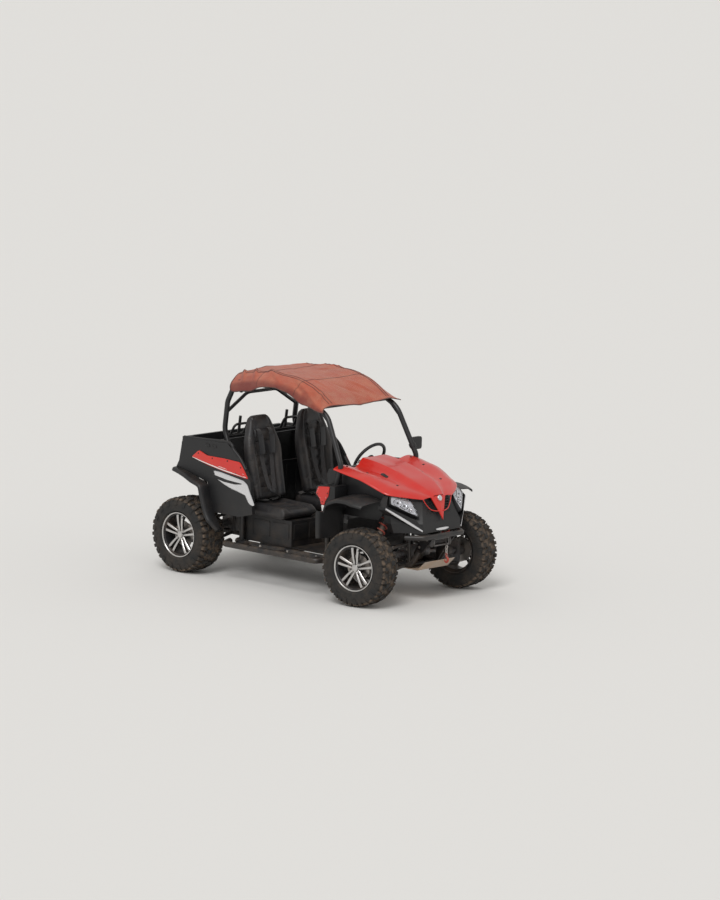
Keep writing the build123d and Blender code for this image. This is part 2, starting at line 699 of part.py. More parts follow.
def seat_cushions():
    y0 = y_hoop - 750
    cushion = box(seat_spacing - 10 - seat_width / 2 + 15, seat_spacing - 10 + seat_width / 2 - 15, y0, y0 + 450,
                  seat_box_z + running_gap, cushion_top_z)
    return both_sides(fillet(cushion.edges(), 28))


def seat_backs():
    """Tall bucket backs with shoulders that narrow to the head, down behind the cushions."""
    lean = 12
    outline = [(-185, -160), (-190, 0), (-208, 420), (-160, 590), (-84, 725), (84, 725), (160, 590), (208, 420),
               (190, 0), (185, -160)]
    face = Plane(origin=(seat_spacing + 5, y_hoop - 345, 690), x_dir=(1, 0, 0),
                 z_dir=(0, -cos(radians(lean)), sin(radians(lean))))
    back = extrude(face * Polygon(*outline, align=None), amount=95, dir=face.z_dir)
    back -= box(0, 600, y_hoop - 900, y_hoop - 300 + running_gap, 400, cushion_top_z + running_gap)
    back -= box(0, 600, y_hoop - 900, y_hoop, 400, seat_box_z + running_gap)
    return both_sides(back)


def engine_block():
    x, y, z = engine_size
    return Pos(0, y_hoop - 170 + running_gap + y / 2, z_floor + tube_diameter + running_gap + z / 2) * Box(x, y, z)


def final_drives():
    """The front and rear drive cases on their cross tubes, with the shafts out to the wheels."""
    z = z_axle + drive_lift
    flanges = Rot(0, 90, 0) * Cylinder(34, 2 * drive_flange_half)
    tube_top = z_rail + light_tube_diameter / 2 + running_gap
    front = Pos(0, y_front, z) * (Rot(0, 90, 0) * Cylinder(70, 190) + flanges)
    front += box(-50, 50, y_front + 30, y_front + steer_arm_length + 8, tube_top, tube_top + 16)
    rear = Pos(0, y_rear - 18, z) * Box(250, 172, 150) + Pos(0, y_rear, z) * flanges
    rear += box(-60, 60, y_rear + 60, y_rear + 98, tube_top, tube_top + 16)
    front_shaft = half_shaft(x_kingpin - 42, y_front)
    front_shaft += rod((x_kingpin - 60, y_front, z_axle + 5), (x_kingpin, y_front, z_axle), 24)
    front_shaft += Pos(x_kingpin, y_front, z_axle) * Sphere(drive_ball_radius)
    rear_shaft = half_shaft(x_rear_upright() - 22, y_rear)
    return front + rear + both_sides(front_shaft) + both_sides(rear_shaft)


def half_shaft(x_outer, y):
    """A shaft with a rubber boot at each end, falling a little to the wheel."""
    fall = atan2(drive_lift, x_outer - drive_flange_half)
    inner = Vector(drive_flange_half + running_gap + boot_radius * sin(fall), y, z_axle + drive_lift)
    outer = Vector(x_outer, y, z_axle)
    along = (outer - inner).normalized()
    shaft = rod(inner, outer, 26)
    shaft += rod(inner, inner + along * 66, 2 * boot_radius)
    shaft += rod(outer - along * 66, outer, 2 * boot_radius)
    return shaft


def x_rear_upright():
    return x_rear_wheel - 92


def arm_pair(y, x_ball, post_top_x, post_top_z):
    """A lower wishbone from the rail and an upper one from the posts, of one corner."""
    z_inner = 500
    share = (z_inner - z_rail) / (post_top_z - z_rail)
    x_post = rail_half + share * (post_top_x - rail_half)
    lower = Pos(x_ball, y, z_low_ball) * Cylinder(20, 30)
    upper = Pos(x_ball, y, z_high_ball) * Cylinder(20, 30)
    for side in (-1, 1):
        lower += rod((rail_half, y + side * 105, z_rail), (x_ball - 50, y + side * 62, z_low_ball + 2), light_tube_diameter)
        lower += rod((x_ball - 50, y + side * 62, z_low_ball + 2), (x_ball, y, z_low_ball), 24)
        post_y = y + side * post_spread
        upper += rod((x_post, post_y, z_inner), (x_ball - 50, y + side * 66, z_high_ball - 2), 26)
        upper += rod((x_ball - 50, y + side * 66, z_high_ball - 2), (x_ball, y, z_high_ball), 22)
        upper -= rod((rail_half, post_y, z_rail), (post_top_x, post_y, post_top_z), light_tube_diameter + 2 * running_gap)
    x, bar_y, z = shock_bar(x_ball, y)
    upper += rod((x, bar_y - 78, z), (x, bar_y + 78, z), arm_bar_diameter)
    lower -= frame_rail(tube_diameter + 2 * running_gap, 1)
    return lower + upper


def shock_bar(x_ball, y):
    """The middle of the upper arm's bar that carries the shock's foot."""
    return x_ball - 90, y, z_high_ball


def front_arms():
    return both_sides(arm_pair(y_front, x_kingpin, front_post_half, front_post_z))


def rear_arms():
    return both_sides(arm_pair(y_rear, x_rear_upright(), rear_post_half, rear_post_z))


def rear_uprights():
    return both_sides(upright(x_rear_wheel, rear_tyre_width, y_rear, x_rear_upright()))


def shock(foot_bar, top_bar):
    """A coil-over between two bars: damper, rod and a stack of coil turns between its two seats."""
    along = (Vector(*top_bar) - Vector(*foot_bar)).normalized()
    foot = Vector(*foot_bar) + along * (arm_bar_diameter / 2 + running_gap)
    top = Vector(*top_bar) - along * (shock_bar_diameter / 2 + running_gap)
    length = (top - foot).length
    turns = 7
    pitch = (length - 130) / turns
    profile = [(0, 0), (12, 0), (12, 40), (coil_radius, 40), (coil_radius, 50)]
    for i in range(turns):
        z = 50 + i * pitch
        profile += [(shock_radius + 4, z + pitch * 0.15), (coil_radius, z + pitch * 0.45), (coil_radius, z + pitch * 0.7)]
    profile += [(shock_radius + 4, length - 78), (coil_radius, length - 72), (coil_radius, length - 60),
                (shock_radius, length - 60), (shock_radius, length - 20), (12, length - 20), (12, length), (0, length)]
    body = revolve(Plane.XZ * Polygon(*profile, align=None), axis=Axis.Z)
    return Plane(origin=foot, z_dir=along) * body


def front_shocks():
    return both_sides(shock(shock_bar(x_kingpin, y_front), (front_post_half, y_front, front_post_z)))


def rear_shocks():
    return both_sides(shock(shock_bar(x_rear_upright(), y_rear), (rear_post_half, y_rear, rear_post_z)))


def cargo_bed():
    """The open box behind the seats, its sides running forward as the body's shoulders."""
    w = bed_wall
    x = bed_half_width
    bed = box(-x, x, y_bed_front, y_bed_back, bed_floor_z, bed_top_z)
    bed -= box(-x + w, x - w, y_bed_front + w, y_bed_back + 1, bed_floor_z + w, bed_top_z + 1)
    rear_posts = box(tailgate_half_width + 6, x, y_bed_back - 40, y_bed_back, bed_floor_z, bed_top_z)
    bed += both_sides(rear_posts)
    for side in (-1, 1):
        for y in (y_bed_back - bed_length / 2 - tie_spacing_y / 2, y_bed_back - bed_length / 2 + tie_spacing_y / 2):
            bed -= Pos(side * tie_spacing_x / 2, y, bed_floor_z) * Cylinder(tie_hole_radius, 4 * w)
    y, z = y_tailgate_hinge, z_tailgate_hinge
    for side in (-1, 1):
        bracket = box(side * 262.3, side * 274, y_bed_back - 2, y + 8, z - 8, z + 8)
        bed += bracket - rod((side * 250, y, z), (side * 280, y, z), 2 * (tailgate_pin_radius + running_gap))
    outline = [(y_bed_back, bed_floor_z + 60), (y_bed_back - 40, bed_top_z), (y_hoop - 190, bed_top_z + 14),
               (y_hoop - 330, 1060), (y_hoop - 470, 880), (y_hoop - 500, 600), (y_hoop - 340, 560)]
    outline += [(y, z + 2) for y, z in rear_arch()[1:]]
    bed += both_sides(side_prism(outline, x, x_body_side))
    return bed


def tailgate():
    """The panel that drops on two pins along its lower edge, with a barrel round each."""
    y, z = y_tailgate_hinge, z_tailgate_hinge
    inner = y_bed_back + running_gap
    panel = box(-tailgate_half_width, tailgate_half_width, inner, inner + tailgate_thickness, z, bed_top_z - 6)
    for side in (-1, 1):
        panel -= box(side * 257, side * 279, inner - 1, inner + tailgate_thickness + 1, z - 1, z + 18)
        panel += rod((side * 200, y, z), (side * 262, y, z), 2 * tailgate_barrel_radius)
        panel += rod((side * 255, y, z), (side * 277, y, z), 2 * tailgate_pin_radius)
    return panel


def rear_arch():
    """The lower edge of the body over the rear wheels, as (y, z) points from the front."""
    return [(y_rear + y, z) for y, z in ((-420, 420), (-330, 560), (-272, 716), (-242, 816), (-133, 836), (14, 878),
                                         (140, 896))]


def rear_fenders():
    """Black flares over the rear wheels, drawn to a tip at the tail."""
    return both_sides(side_prism(ribbon(rear_arch(), -12), x_body_side + running_gap, 745))


def tail_lamps():
    return both_sides(box(bed_half_width - 80, bed_half_width - 10, y_bed_back + running_gap, y_bed_back + 14,
                          bed_top_z - 150, bed_top_z - 50))


def exhaust():
    """The silencer across the tail, hung from the frame, with its pipes to the engine and out."""
    y = y_rear + 190
    z = 690
    piece = Pos(-20, y, z) * (Rot(0, 90, 0) * Cylinder(70, 380))
    piece += rod((100, y, z), (100, y + 95, z - 30), 44)
    engine_back = y_hoop - 170 + running_gap + engine_size[1]
    piece += rod((-100, engine_back + running_gap, z), (-100, y, z), 44)
    hanger_y = y_rear + post_spread
    hanger_top = rear_post_z - light_tube_diameter / 2 - running_gap
    for x in (-150, 110):
        piece += box(x - 4, x + 4, hanger_y - 9, hanger_y + 9, z + 50, hanger_top)
    return piece


def step_bars():
    """A step tube along each sill on three brackets."""
    y0 = y_front + 420
    y1 = y_rear - 470
    x = 690
    bar = tube([(560, y0 - 10, z_rail + 12), (x, y0 + 40, z_rail + 12), (x, y1 - 40, z_rail + 12),
                (560, y1 + 20, z_rail + 12)], 52, [50, 50])
    for y in (y0 + 170, (y0 + y1) / 2, y1 - 140):
        bar += rod((floor_half_width + running_gap, y, z_rail), (x, y, z_rail + 6), 28)
    return both_sides(bar)


def mirror_left():
    """A mirror on a stalk, from a clamp round the left front pillar."""
    low = Vector(cage_half_width + 38, y_front + 385, 1112)
    high = Vector(cage_half_width, y_front + 590, 1512)
    along = (high - low).normalized()
    middle = low + along * 95
    clamp = rod(middle - along * 16, middle + along * 16, tube_diameter + 14)
    clamp = clamp - cage_tube(1, tube_diameter + 4 * running_gap)
    head = Pos(middle.X + 80, middle.Y + 30, middle.Z + 8) * Box(120, 24, 108)
    head = fillet(head.edges().filter_by(Axis.Y), 20)
    stalk = rod((middle.X + 26, middle.Y + 2, middle.Z), (middle.X + 50, middle.Y + 24, middle.Z), 16)
    return clamp + stalk + head


frame_rails, lower_frame = whole_frame()

nodes = {
    "frame_rails": frame_rails,
    "lower_frame": lower_frame,
    "floor_pan": floor_pan(),
    "skid_plate": skid_plate(),
    "steering_column": steering_column(),
    "tie_rods": tie_rods(),
    "steering_wheel": steering_wheel(),
    "cage_side_left": cage_side(1),
    "cage_side_right": cage_side(-1),
    "cage_cross_bars": cage_cross_bars(),
    "canopy": canopy(),
    "hood": hood(),
    "nose_fascia": nose_fascia(),
    "headlights": headlights(),
    "silver_trims": silver_trims(),
    "front_bumper": front_bumper(),
    "winch": winch(),
    "front_fenders": front_fenders(),
    "red_side_panels": red_side_panels(),
    "dashboard": dashboard(),
    "seat_cushions": seat_cushions(),
    "seat_backs": seat_backs(),
    "engine_block": engine_block(),
    "final_drives": final_drives(),
    "front_arms": front_arms(),
    "rear_arms": rear_arms(),
    "shocks": front_shocks() + rear_shocks(),
    "rear_uprights": rear_uprights(),
    "cargo_bed": cargo_bed(),
    "tailgate": tailgate(),
    "rear_fenders": rear_fenders(),
    "tail_lamps": tail_lamps(),
    "exhaust": exhaust(),
    "step_bars": step_bars(),
    "mirror": mirror_left(),
}
for name, side in (("left", 1), ("right", -1)):
    nodes[f"knuckle_{name}"] = knuckle(side)
    nodes[f"tyre_front_{name}"] = steered(on_side(Pos(x_front_wheel, y_front, z_axle) * tyre(front_tyre_width), side), side)
    nodes[f"rim_front_{name}"] = steered(on_side(Pos(x_front_wheel, y_front, z_axle) * rim(front_tyre_width), side), side)
    nodes[f"tyre_rear_{name}"] = on_side(Pos(x_rear_wheel, y_rear, z_axle) * tyre(rear_tyre_width), side)
    nodes[f"rim_rear_{name}"] = on_side(Pos(x_rear_wheel, y_rear, z_axle) * rim(rear_tyre_width), side)

for name, shape in nodes.items():
    export_step(shape, f"parts/{name}.step")
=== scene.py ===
# %% [markdown]
# # A two-seat dune buggy
#
# This lesson dresses a light two-seat off-road vehicle: a tube frame with a roof cage, four chunky
# tyres, a red moulded hood, black wings, bucket seats and a canvas roof. Its metal parts come with
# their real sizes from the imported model, so the first cell loads them. Every length here is in metres.

# %% Load the frame
import json
from math import atan2, cos, pi, radians, sin, sqrt

import bmesh
import bpy
from mathutils import Matrix, Vector, noise


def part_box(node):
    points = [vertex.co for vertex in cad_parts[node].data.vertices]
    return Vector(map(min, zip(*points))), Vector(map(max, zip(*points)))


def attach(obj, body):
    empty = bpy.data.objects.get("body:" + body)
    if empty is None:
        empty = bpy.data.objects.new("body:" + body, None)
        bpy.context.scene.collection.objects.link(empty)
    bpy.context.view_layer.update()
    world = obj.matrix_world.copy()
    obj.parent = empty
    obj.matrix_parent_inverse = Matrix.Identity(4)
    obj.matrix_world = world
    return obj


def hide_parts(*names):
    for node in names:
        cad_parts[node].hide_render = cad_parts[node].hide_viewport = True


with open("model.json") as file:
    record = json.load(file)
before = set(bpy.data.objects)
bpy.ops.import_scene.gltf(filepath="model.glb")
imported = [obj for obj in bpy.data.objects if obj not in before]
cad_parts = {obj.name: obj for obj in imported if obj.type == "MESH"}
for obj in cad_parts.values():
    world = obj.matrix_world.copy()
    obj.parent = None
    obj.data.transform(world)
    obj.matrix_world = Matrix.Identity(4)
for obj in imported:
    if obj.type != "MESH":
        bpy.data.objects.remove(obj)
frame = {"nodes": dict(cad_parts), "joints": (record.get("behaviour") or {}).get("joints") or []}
scene = bpy.context.scene
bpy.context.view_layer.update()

# %% [markdown]
# ## Places read from the frame
#
# X points to the vehicle's left, Y to its tail and Z up. Reading the axles, wheels and joints from
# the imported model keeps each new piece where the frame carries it, also if a size changes there.

# %% Read the main places
JOINTS = {joint["name"]: joint for joint in frame["joints"]}
SIDES = {"left": 1, "right": -1}
kingpin = Vector(JOINTS["steer_left"]["pos_m"])
front_axle_y = kingpin.y
rear_axle_y = JOINTS["wheel_rear_left_spin"]["pos_m"][1]
axle_z = kingpin.z
front_spin = JOINTS["wheel_front_left_spin"]["axis"]
parked_turn = atan2(front_spin[1], front_spin[0])
tyre_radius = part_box("tyre_rear_left")[1].z - axle_z
rear_tyre_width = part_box("tyre_rear_left")[1].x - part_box("tyre_rear_left")[0].x
# the front tyres are about two inches narrower
front_tyre_width = rear_tyre_width - 0.05
print("wheelbase", round(rear_axle_y - front_axle_y, 3), "parked turn", round(parked_turn, 3))

# %% [markdown]
# ## The camera
#
# The picture was taken from far off with a long lens, so the vehicle looks almost flat. A few of its
# points, such as wheel centres and the hood's rear corners, fix the viewing angle: about 43 degrees
# round from the right side and 9 degrees up, with the ground rolled by a little over a degree. The
# lens is given by its focal length in pixels, because the picture is 720 by 900.

# %% Place the camera
PICTURE_WIDTH, PICTURE_HEIGHT = 720, 900
VIEW_TURN, VIEW_TILT, VIEW_ROLL = radians(42.584), radians(9.079), radians(1.386)
VIEW_DISTANCE = 40.0
FOCAL_PIXELS = 4655.5
AIM_POINT = Vector((0.0, 0.035, 0.81))
AIM_PIXEL = (323.965, 486.27)


def camera_at_view():
    """A camera whose picture shows the aim point at the aim pixel."""
    back = Vector((-cos(VIEW_TURN) * cos(VIEW_TILT), -sin(VIEW_TURN) * cos(VIEW_TILT), sin(VIEW_TILT)))
    level = Vector((sin(VIEW_TURN), -cos(VIEW_TURN), 0))
    right = level * cos(VIEW_ROLL) + back.cross(level) * sin(VIEW_ROLL)
    up = back.cross(right)
    across = (AIM_PIXEL[0] - PICTURE_WIDTH / 2) / FOCAL_PIXELS * VIEW_DISTANCE
    rise = (PICTURE_HEIGHT / 2 - AIM_PIXEL[1]) / FOCAL_PIXELS * VIEW_DISTANCE
    place = AIM_POINT + back * VIEW_DISTANCE - right * across - up * rise
    data = bpy.data.cameras.new("camera")
    data.sensor_width = 36
    data.lens = FOCAL_PIXELS / PICTURE_HEIGHT * data.sensor_width
    data.clip_end = 1000
    camera = bpy.data.objects.new("camera", data)
    camera.matrix_world = Matrix.Translation(place) @ Matrix((right, up, back)).transposed().to_4x4()
    scene.collection.objects.link(camera)
    return camera


scene.camera = camera_at_view()
print("lens", round(scene.camera.data.lens, 1), "mm at",
      [round(v, 2) for v in scene.camera.matrix_world.translation])

# %% [markdown]
# ## Floor and light
#
# A studio shows shapes and colours best: one wide pale floor, an even sky and one soft sun. Sky and
# sun together add up to a plain level, so that a colour renders about as it is written. The floor
# runs far back, because the long lens looks almost along it.

# %% Make the floor and the lights
FLOOR_RADIUS = 400.0
SKY_STRENGTH = 0.62
SUN_STRENGTH = 1.35


def stage_floor():
    """A wide round sheet just under the tyres."""
    mesh = bpy.data.meshes.new("floor")
    corners = [(FLOOR_RADIUS * cos(i * pi / 32), FLOOR_RADIUS * sin(i * pi / 32), -0.001) for i in range(64)]
    mesh.from_pydata(corners, [], [list(range(64))])
    floor = bpy.data.objects.new("floor", mesh)
    scene.collection.objects.link(floor)
    material = bpy.data.materials.new("pale_floor")
    material.use_nodes = True
    shader = material.node_tree.nodes["Principled BSDF"]
    shader.inputs["Base Color"].default_value = (0.80, 0.79, 0.77, 1)
    shader.inputs["Roughness"].default_value = 0.9
    mesh.materials.append(material)


def studio_light():
    """An even pale sky with one soft sun from the front right."""
    world = bpy.data.worlds.new("studio")
    world.use_nodes = True
    sky = world.node_tree.nodes["Background"]
    sky.inputs["Color"].default_value = (1.0, 0.99, 0.97, 1)
    sky.inputs["Strength"].default_value = SKY_STRENGTH
    scene.world = world
    data = bpy.data.lights.new("sun", "SUN")
    data.energy = SUN_STRENGTH
    data.angle = radians(25)
    sun = bpy.data.objects.new("sun", data)
    sun.rotation_euler = (radians(42), 0, radians(-62))
    scene.collection.objects.link(sun)


stage_floor()
studio_light()
print("sky", SKY_STRENGTH, "and sun", SUN_STRENGTH)
scene.view_settings.view_transform = "Standard"

# %% [markdown]
# ## Helpers for nodes
#
# A finish is a small network. These helpers add one node each, with its settings and its links, so
# that a network reads from top to bottom.

# %% Define the node helpers
def add(tree, kind, settings=None, **sockets):
    """A new node: settings are its own options, and each socket takes a value or a link."""
    made = tree.nodes.new("ShaderNode" + kind)
    for key, value in (settings or {}).items():
        setattr(made, key, value)
    for key, value in sockets.items():
        plug(tree, made.inputs[key.replace("_", " ")], value)
    return made


def plug(tree, socket, value):
    if isinstance(value, bpy.types.NodeSocket):
        tree.links.new(value, socket)
    else:
        socket.default_value = value


def calc(tree, operation, *values):
    """One step of arithmetic, as a socket."""
    made = tree.nodes.new("ShaderNodeMath")
    made.operation = operation
    for socket, value in zip(made.inputs, values):
        plug(tree, socket, value)
    return made.outputs[0]


def times(tree, *values):
    return calc(tree, "MULTIPLY", *values)


# %% Define the mixing helpers
def blend_colour(tree, share, below, above):
    made = tree.nodes.new("ShaderNodeMix")
    made.data_type = "RGBA"
    for index, value in ((0, share), (6, below), (7, above)):
        plug(tree, made.inputs[index], value)
    return made.outputs[2]


def blend_value(tree, share, below, above):
    made = tree.nodes.new("ShaderNodeMix")
    for index, value in ((0, share), (2, below), (3, above)):
        plug(tree, made.inputs[index], value)
    return made.outputs[0]


def step_up(tree, value, low, high):
    """0 below low, 1 above high, and a smooth rise between."""
    made = add(tree, "MapRange", {"interpolation_type": "SMOOTHSTEP"}, Value=value, From_Min=low, From_Max=high)
    return made.outputs["Result"]


# %% Define the group helpers
def new_group(name, inputs, outputs):
    """An empty node group; each input is its name, kind and value."""
    tree = bpy.data.node_groups.new(name, "ShaderNodeTree")
    for label, kind, value in inputs:
        socket = tree.interface.new_socket(label, in_out="INPUT", socket_type="NodeSocket" + kind)
        socket.default_value = value
    for label, kind in outputs:
        tree.interface.new_socket(label, in_out="OUTPUT", socket_type="NodeSocket" + kind)
    return tree, tree.nodes.new("NodeGroupInput"), tree.nodes.new("NodeGroupOutput")


def use_group(tree, group, **sockets):
    made = tree.nodes.new("ShaderNodeGroup")
    made.node_tree = group
    for key, value in sockets.items():
        plug(tree, made.inputs[key.replace("_", " ")], value)
    return made.outputs


# %% [markdown]
# ## Dust
#
# A buggy that drives on sand wears it: a pale film low down and on every face that looks up, thicker
# in patches. The group gives a mask between 0 and 1, from the height, the way the face looks and two
# sizes of noise, so every finish mixes in its own amount of the same dust.

# %% Build the dust group
DUST_COLOUR = (0.42, 0.29, 0.19, 1)


def dust_group():
    tree, given, out = new_group(
        "dust", [("Amount", "Float", 0.5), ("Top", "Float", 0.9), ("Fineness", "Float", 9.0)], [("Mask", "Float")])
    place = add(tree, "TexCoord")
    axes = add(tree, "SeparateXYZ", Vector=place.outputs["Object"])
    faces = add(tree, "SeparateXYZ", Vector=place.outputs["Normal"])
    low = calc(tree, "SUBTRACT", 1.0, step_up(tree, axes.outputs["Z"], 0.05, given.outputs["Top"]))
    up = step_up(tree, faces.outputs["Z"], 0.2, 0.95)
    broad = add(tree, "TexNoise", Vector=place.outputs["Object"], Scale=given.outputs["Fineness"], Detail=6.0,
                Roughness=0.62)
    speck = add(tree, "TexNoise", Vector=place.outputs["Object"], Scale=180.0, Detail=3.0)
    cover = calc(tree, "ADD", times(tree, low, 0.75), times(tree, up, 0.45))
    patch = step_up(tree, broad.outputs["Fac"], 0.36, 0.70)
    grains = step_up(tree, speck.outputs["Fac"], 0.30, 0.72)
    mask = times(tree, times(tree, cover, patch), calc(tree, "ADD", grains, 0.35))
    mask = times(tree, mask, given.outputs["Amount"])
    plug(tree, out.inputs["Mask"], calc(tree, "MINIMUM", mask, 0.92))
    return tree


DUST = dust_group()
print("dust group with", len(DUST.nodes), "nodes")

# %% [markdown]
# ## Worn edges
#
# Paint and plastic rub bright along their edges. The Bevel node rounds the surface's normal near an
# edge, so where that rounded normal differs from the true one there is an edge. Noise breaks the
# line up, because wear is never even.

# %% Build the edge wear group
def wear_group():
    tree, given, out = new_group(
        "edge_wear", [("Width", "Float", 0.003), ("Amount", "Float", 0.6)], [("Mask", "Float")])
    rounded = add(tree, "Bevel", {"samples": 4}, Radius=given.outputs["Width"])
    shape = add(tree, "NewGeometry")
    product = add(tree, "VectorMath", {"operation": "DOT_PRODUCT"})
    tree.links.new(rounded.outputs[0], product.inputs[0])
    tree.links.new(shape.outputs["Normal"], product.inputs[1])
    edge = step_up(tree, calc(tree, "SUBTRACT", 1.0, product.outputs["Value"]), 0.004, 0.08)
    place = add(tree, "TexCoord")
    breaks = add(tree, "TexNoise", Vector=place.outputs["Object"], Scale=26.0, Detail=8.0, Roughness=0.7)
    mask = times(tree, edge, step_up(tree, breaks.outputs["Fac"], 0.45, 0.62))
    plug(tree, out.inputs["Mask"], times(tree, mask, given.outputs["Amount"]))
    return tree


WEAR = wear_group()
print("edge wear group with", len(WEAR.nodes), "nodes")

# %% [markdown]
# ## Grain
#
# Moulded plastic, cast metal and cover vinyl share one habit: a fine random relief. A Voronoi
# pattern gives the pebbles of a grain, and noise under it keeps them uneven. The group puts out a
# height for a Bump node, and a value that spreads the roughness a little.

# %% Build the grain group
def grain_group():
    tree, given, out = new_group(
        "grain", [("Scale", "Float", 600.0), ("Unevenness", "Float", 0.5)],
        [("Height", "Float"), ("Spread", "Float")])
    place = add(tree, "TexCoord")
    pebbles = add(tree, "TexVoronoi", {"feature": "F1"}, Vector=place.outputs["Object"],
                  Scale=given.outputs["Scale"])
    broad = add(tree, "TexNoise", Vector=place.outputs["Object"], Scale=7.0, Detail=7.0, Roughness=0.6)
    height = calc(tree, "SUBTRACT", 1.0, pebbles.outputs["Distance"])
    share = times(tree, given.outputs["Unevenness"], 0.5)
    height = blend_value(tree, share, height, broad.outputs["Fac"])
    plug(tree, out.inputs["Height"], height)
    plug(tree, out.inputs["Spread"], broad.outputs["Fac"])
    return tree


GRAIN = grain_group()
print("grain group with", len(GRAIN.nodes), "nodes")

# %% [markdown]
# ## Finishes
#
# Each finish starts from one helper that lays dust over a colour, turns the grain into a bump and
# lets wear show a second colour at the edges. What sets a finish apart is then a short line of
# values, and where a real surface has more to it, such as weave or machining, it gets more nodes.

# %% Define the common finish
def finish(name, colour, roughness=0.5, metallic=0.0, dust=0.3, dust_top=0.9, wear=None, grain=None, bump=0.0,
           **plain):
    """A material with dust, and with worn edges and grain where they are asked for."""
    material = bpy.data.materials.new(name)
    material.use_nodes = True
    tree = material.node_tree
    shader = tree.nodes["Principled BSDF"]
    base = colour
    rough = roughness
    metal = metallic
    if grain:
        relief = use_group(tree, GRAIN, Scale=grain)
        spread = times(tree, calc(tree, "SUBTRACT", relief["Spread"], 0.5), 0.22)
        rough = calc(tree, "ADD", spread, roughness)
        base = blend_colour(tree, times(tree, relief["Spread"], 0.5), colour,
                            tuple(min(1, c * 1.5) for c in colour[:3]) + (1,))
        bumped = add(tree, "Bump", Strength=bump, Distance=0.001, Height=relief["Height"])
        tree.links.new(bumped.outputs["Normal"], shader.inputs["Normal"])
    if wear:
        worn_colour, amount, worn_metal = wear
        mask = use_group(tree, WEAR, Amount=amount)["Mask"]
        base = blend_colour(tree, mask, base, worn_colour)
        if worn_metal != metallic:
            metal = blend_value(tree, mask, metallic, worn_metal)
    if dust:
        mask = use_group(tree, DUST, Amount=dust, Top=dust_top)["Mask"]
        base = blend_colour(tree, mask, base, DUST_COLOUR)
        rough = blend_value(tree, mask, rough, 0.95)
        if metallic:
            metal = times(tree, metal, calc(tree, "SUBTRACT", 1.0, mask))
    plug(tree, shader.inputs["Base Color"], base)
    plug(tree, shader.inputs["Roughness"], rough)
    plug(tree, shader.inputs["Metallic"], metal)
    for key, value in plain.items():
        shader.inputs[key.replace("_", " ")].default_value = value
    return material


# %% Make the plain finishes
BARE_STEEL = (0.30, 0.27, 0.24, 1)
SCUFFED_GREY = (0.16, 0.15, 0.14, 1)
black_paint = finish("frame_paint", (0.012, 0.012, 0.013, 1), 0.38, dust=0.20, wear=(BARE_STEEL, 0.5, 0.6),
                     grain=320, bump=0.12)
black_plastic = finish("moulded_plastic", (0.009, 0.009, 0.010, 1), 0.46, dust=0.16, dust_top=0.8,
                       wear=(SCUFFED_GREY, 0.45, 0.0), grain=700, bump=0.22)
cast_metal = finish("drive_casting", (0.15, 0.15, 0.155, 1), 0.55, metallic=0.8, dust=0.45, grain=240, bump=0.4)
dark_cast = finish("dark_cast", (0.05, 0.05, 0.052, 1), 0.5, metallic=0.4, dust=0.35, grain=260, bump=0.3)
steel = finish("silencer_steel", (0.36, 0.33, 0.30, 1), 0.34, metallic=0.95, dust=0.6, grain=90, bump=0.06)
silver = finish("silver_paint", (0.66, 0.66, 0.68, 1), 0.28, metallic=0.85, dust=0.14,
                wear=(SCUFFED_GREY, 0.35, 0.2), grain=900, bump=0.03)
seat_vinyl = finish("seat_vinyl", (0.016, 0.016, 0.018, 1), 0.46, dust=0.07, dust_top=0.8, grain=420, bump=0.35)
spring_paint = finish("spring_paint", (0.34, 0.03, 0.02, 1), 0.4, dust=0.25, wear=(BARE_STEEL, 0.5, 0.5), grain=500,
                      bump=0.06)
print("plain finishes", [m.name for m in (black_paint, black_plastic, cast_metal, steel, silver, seat_vinyl)])

# %% [markdown]
# ## Red gloss
#
# The hood is moulded in red plastic with a clear gloss over it. The gloss is the shader's coat. A
# broad noise shifts the red a little, as sun does, hairline scratches sit in the bump, and a
# thin film of dust lies low down and on faces that look up.

# %% Make the red gloss
def red_gloss_finish():
    material = finish("red_gloss", (0.60, 0.016, 0.010, 1), 0.33, dust=0.10, dust_top=1.4,
                      wear=((0.72, 0.13, 0.09, 1), 0.35, 0.0), Coat_Weight=0.45, Coat_Roughness=0.12)
    tree = material.node_tree
    shader = tree.nodes["Principled BSDF"]
    place = add(tree, "TexCoord")
    stretched = add(tree, "Mapping", Vector=place.outputs["Object"])
    stretched.inputs["Scale"].default_value = (420, 14, 60)
    hairs = add(tree, "TexNoise", Vector=stretched.outputs["Vector"], Scale=1.0, Detail=3.0)
    bump = add(tree, "Bump", Strength=0.05, Distance=0.001, Height=step_up(tree, hairs.outputs["Fac"], 0.66, 0.72))
    tree.links.new(bump.outputs["Normal"], shader.inputs["Normal"])
    sun = add(tree, "TexNoise", Vector=place.outputs["Object"], Scale=2.2, Detail=2.0)
    under = shader.inputs["Base Color"].links[0].from_socket
    share = times(tree, step_up(tree, sun.outputs["Fac"], 0.4, 0.65), 0.16)
    faded = blend_colour(tree, share, under, (0.74, 0.07, 0.035, 1))
    tree.links.new(faded, shader.inputs["Base Color"])
    return material


red_gloss = red_gloss_finish()
white_stripe = finish("white_stripe", (0.70, 0.67, 0.65, 1), 0.4, dust=0.3, wear=(SCUFFED_GREY, 0.4, 0.0),
                      grain=500, bump=0.02, Coat_Weight=0.2)
print("red gloss with", len(red_gloss.node_tree.nodes), "nodes")

# %% [markdown]
# ## Tyre rubber
#
# Tread rubber is matt and nearly black, but a tyre that has run in sand is grey-brown between its
# blocks and paler on its walls. The tyre's own coordinates start at its axle, so the distance from
# the axle tells tread from wall, and fine rings in the bump are the mould's lines.

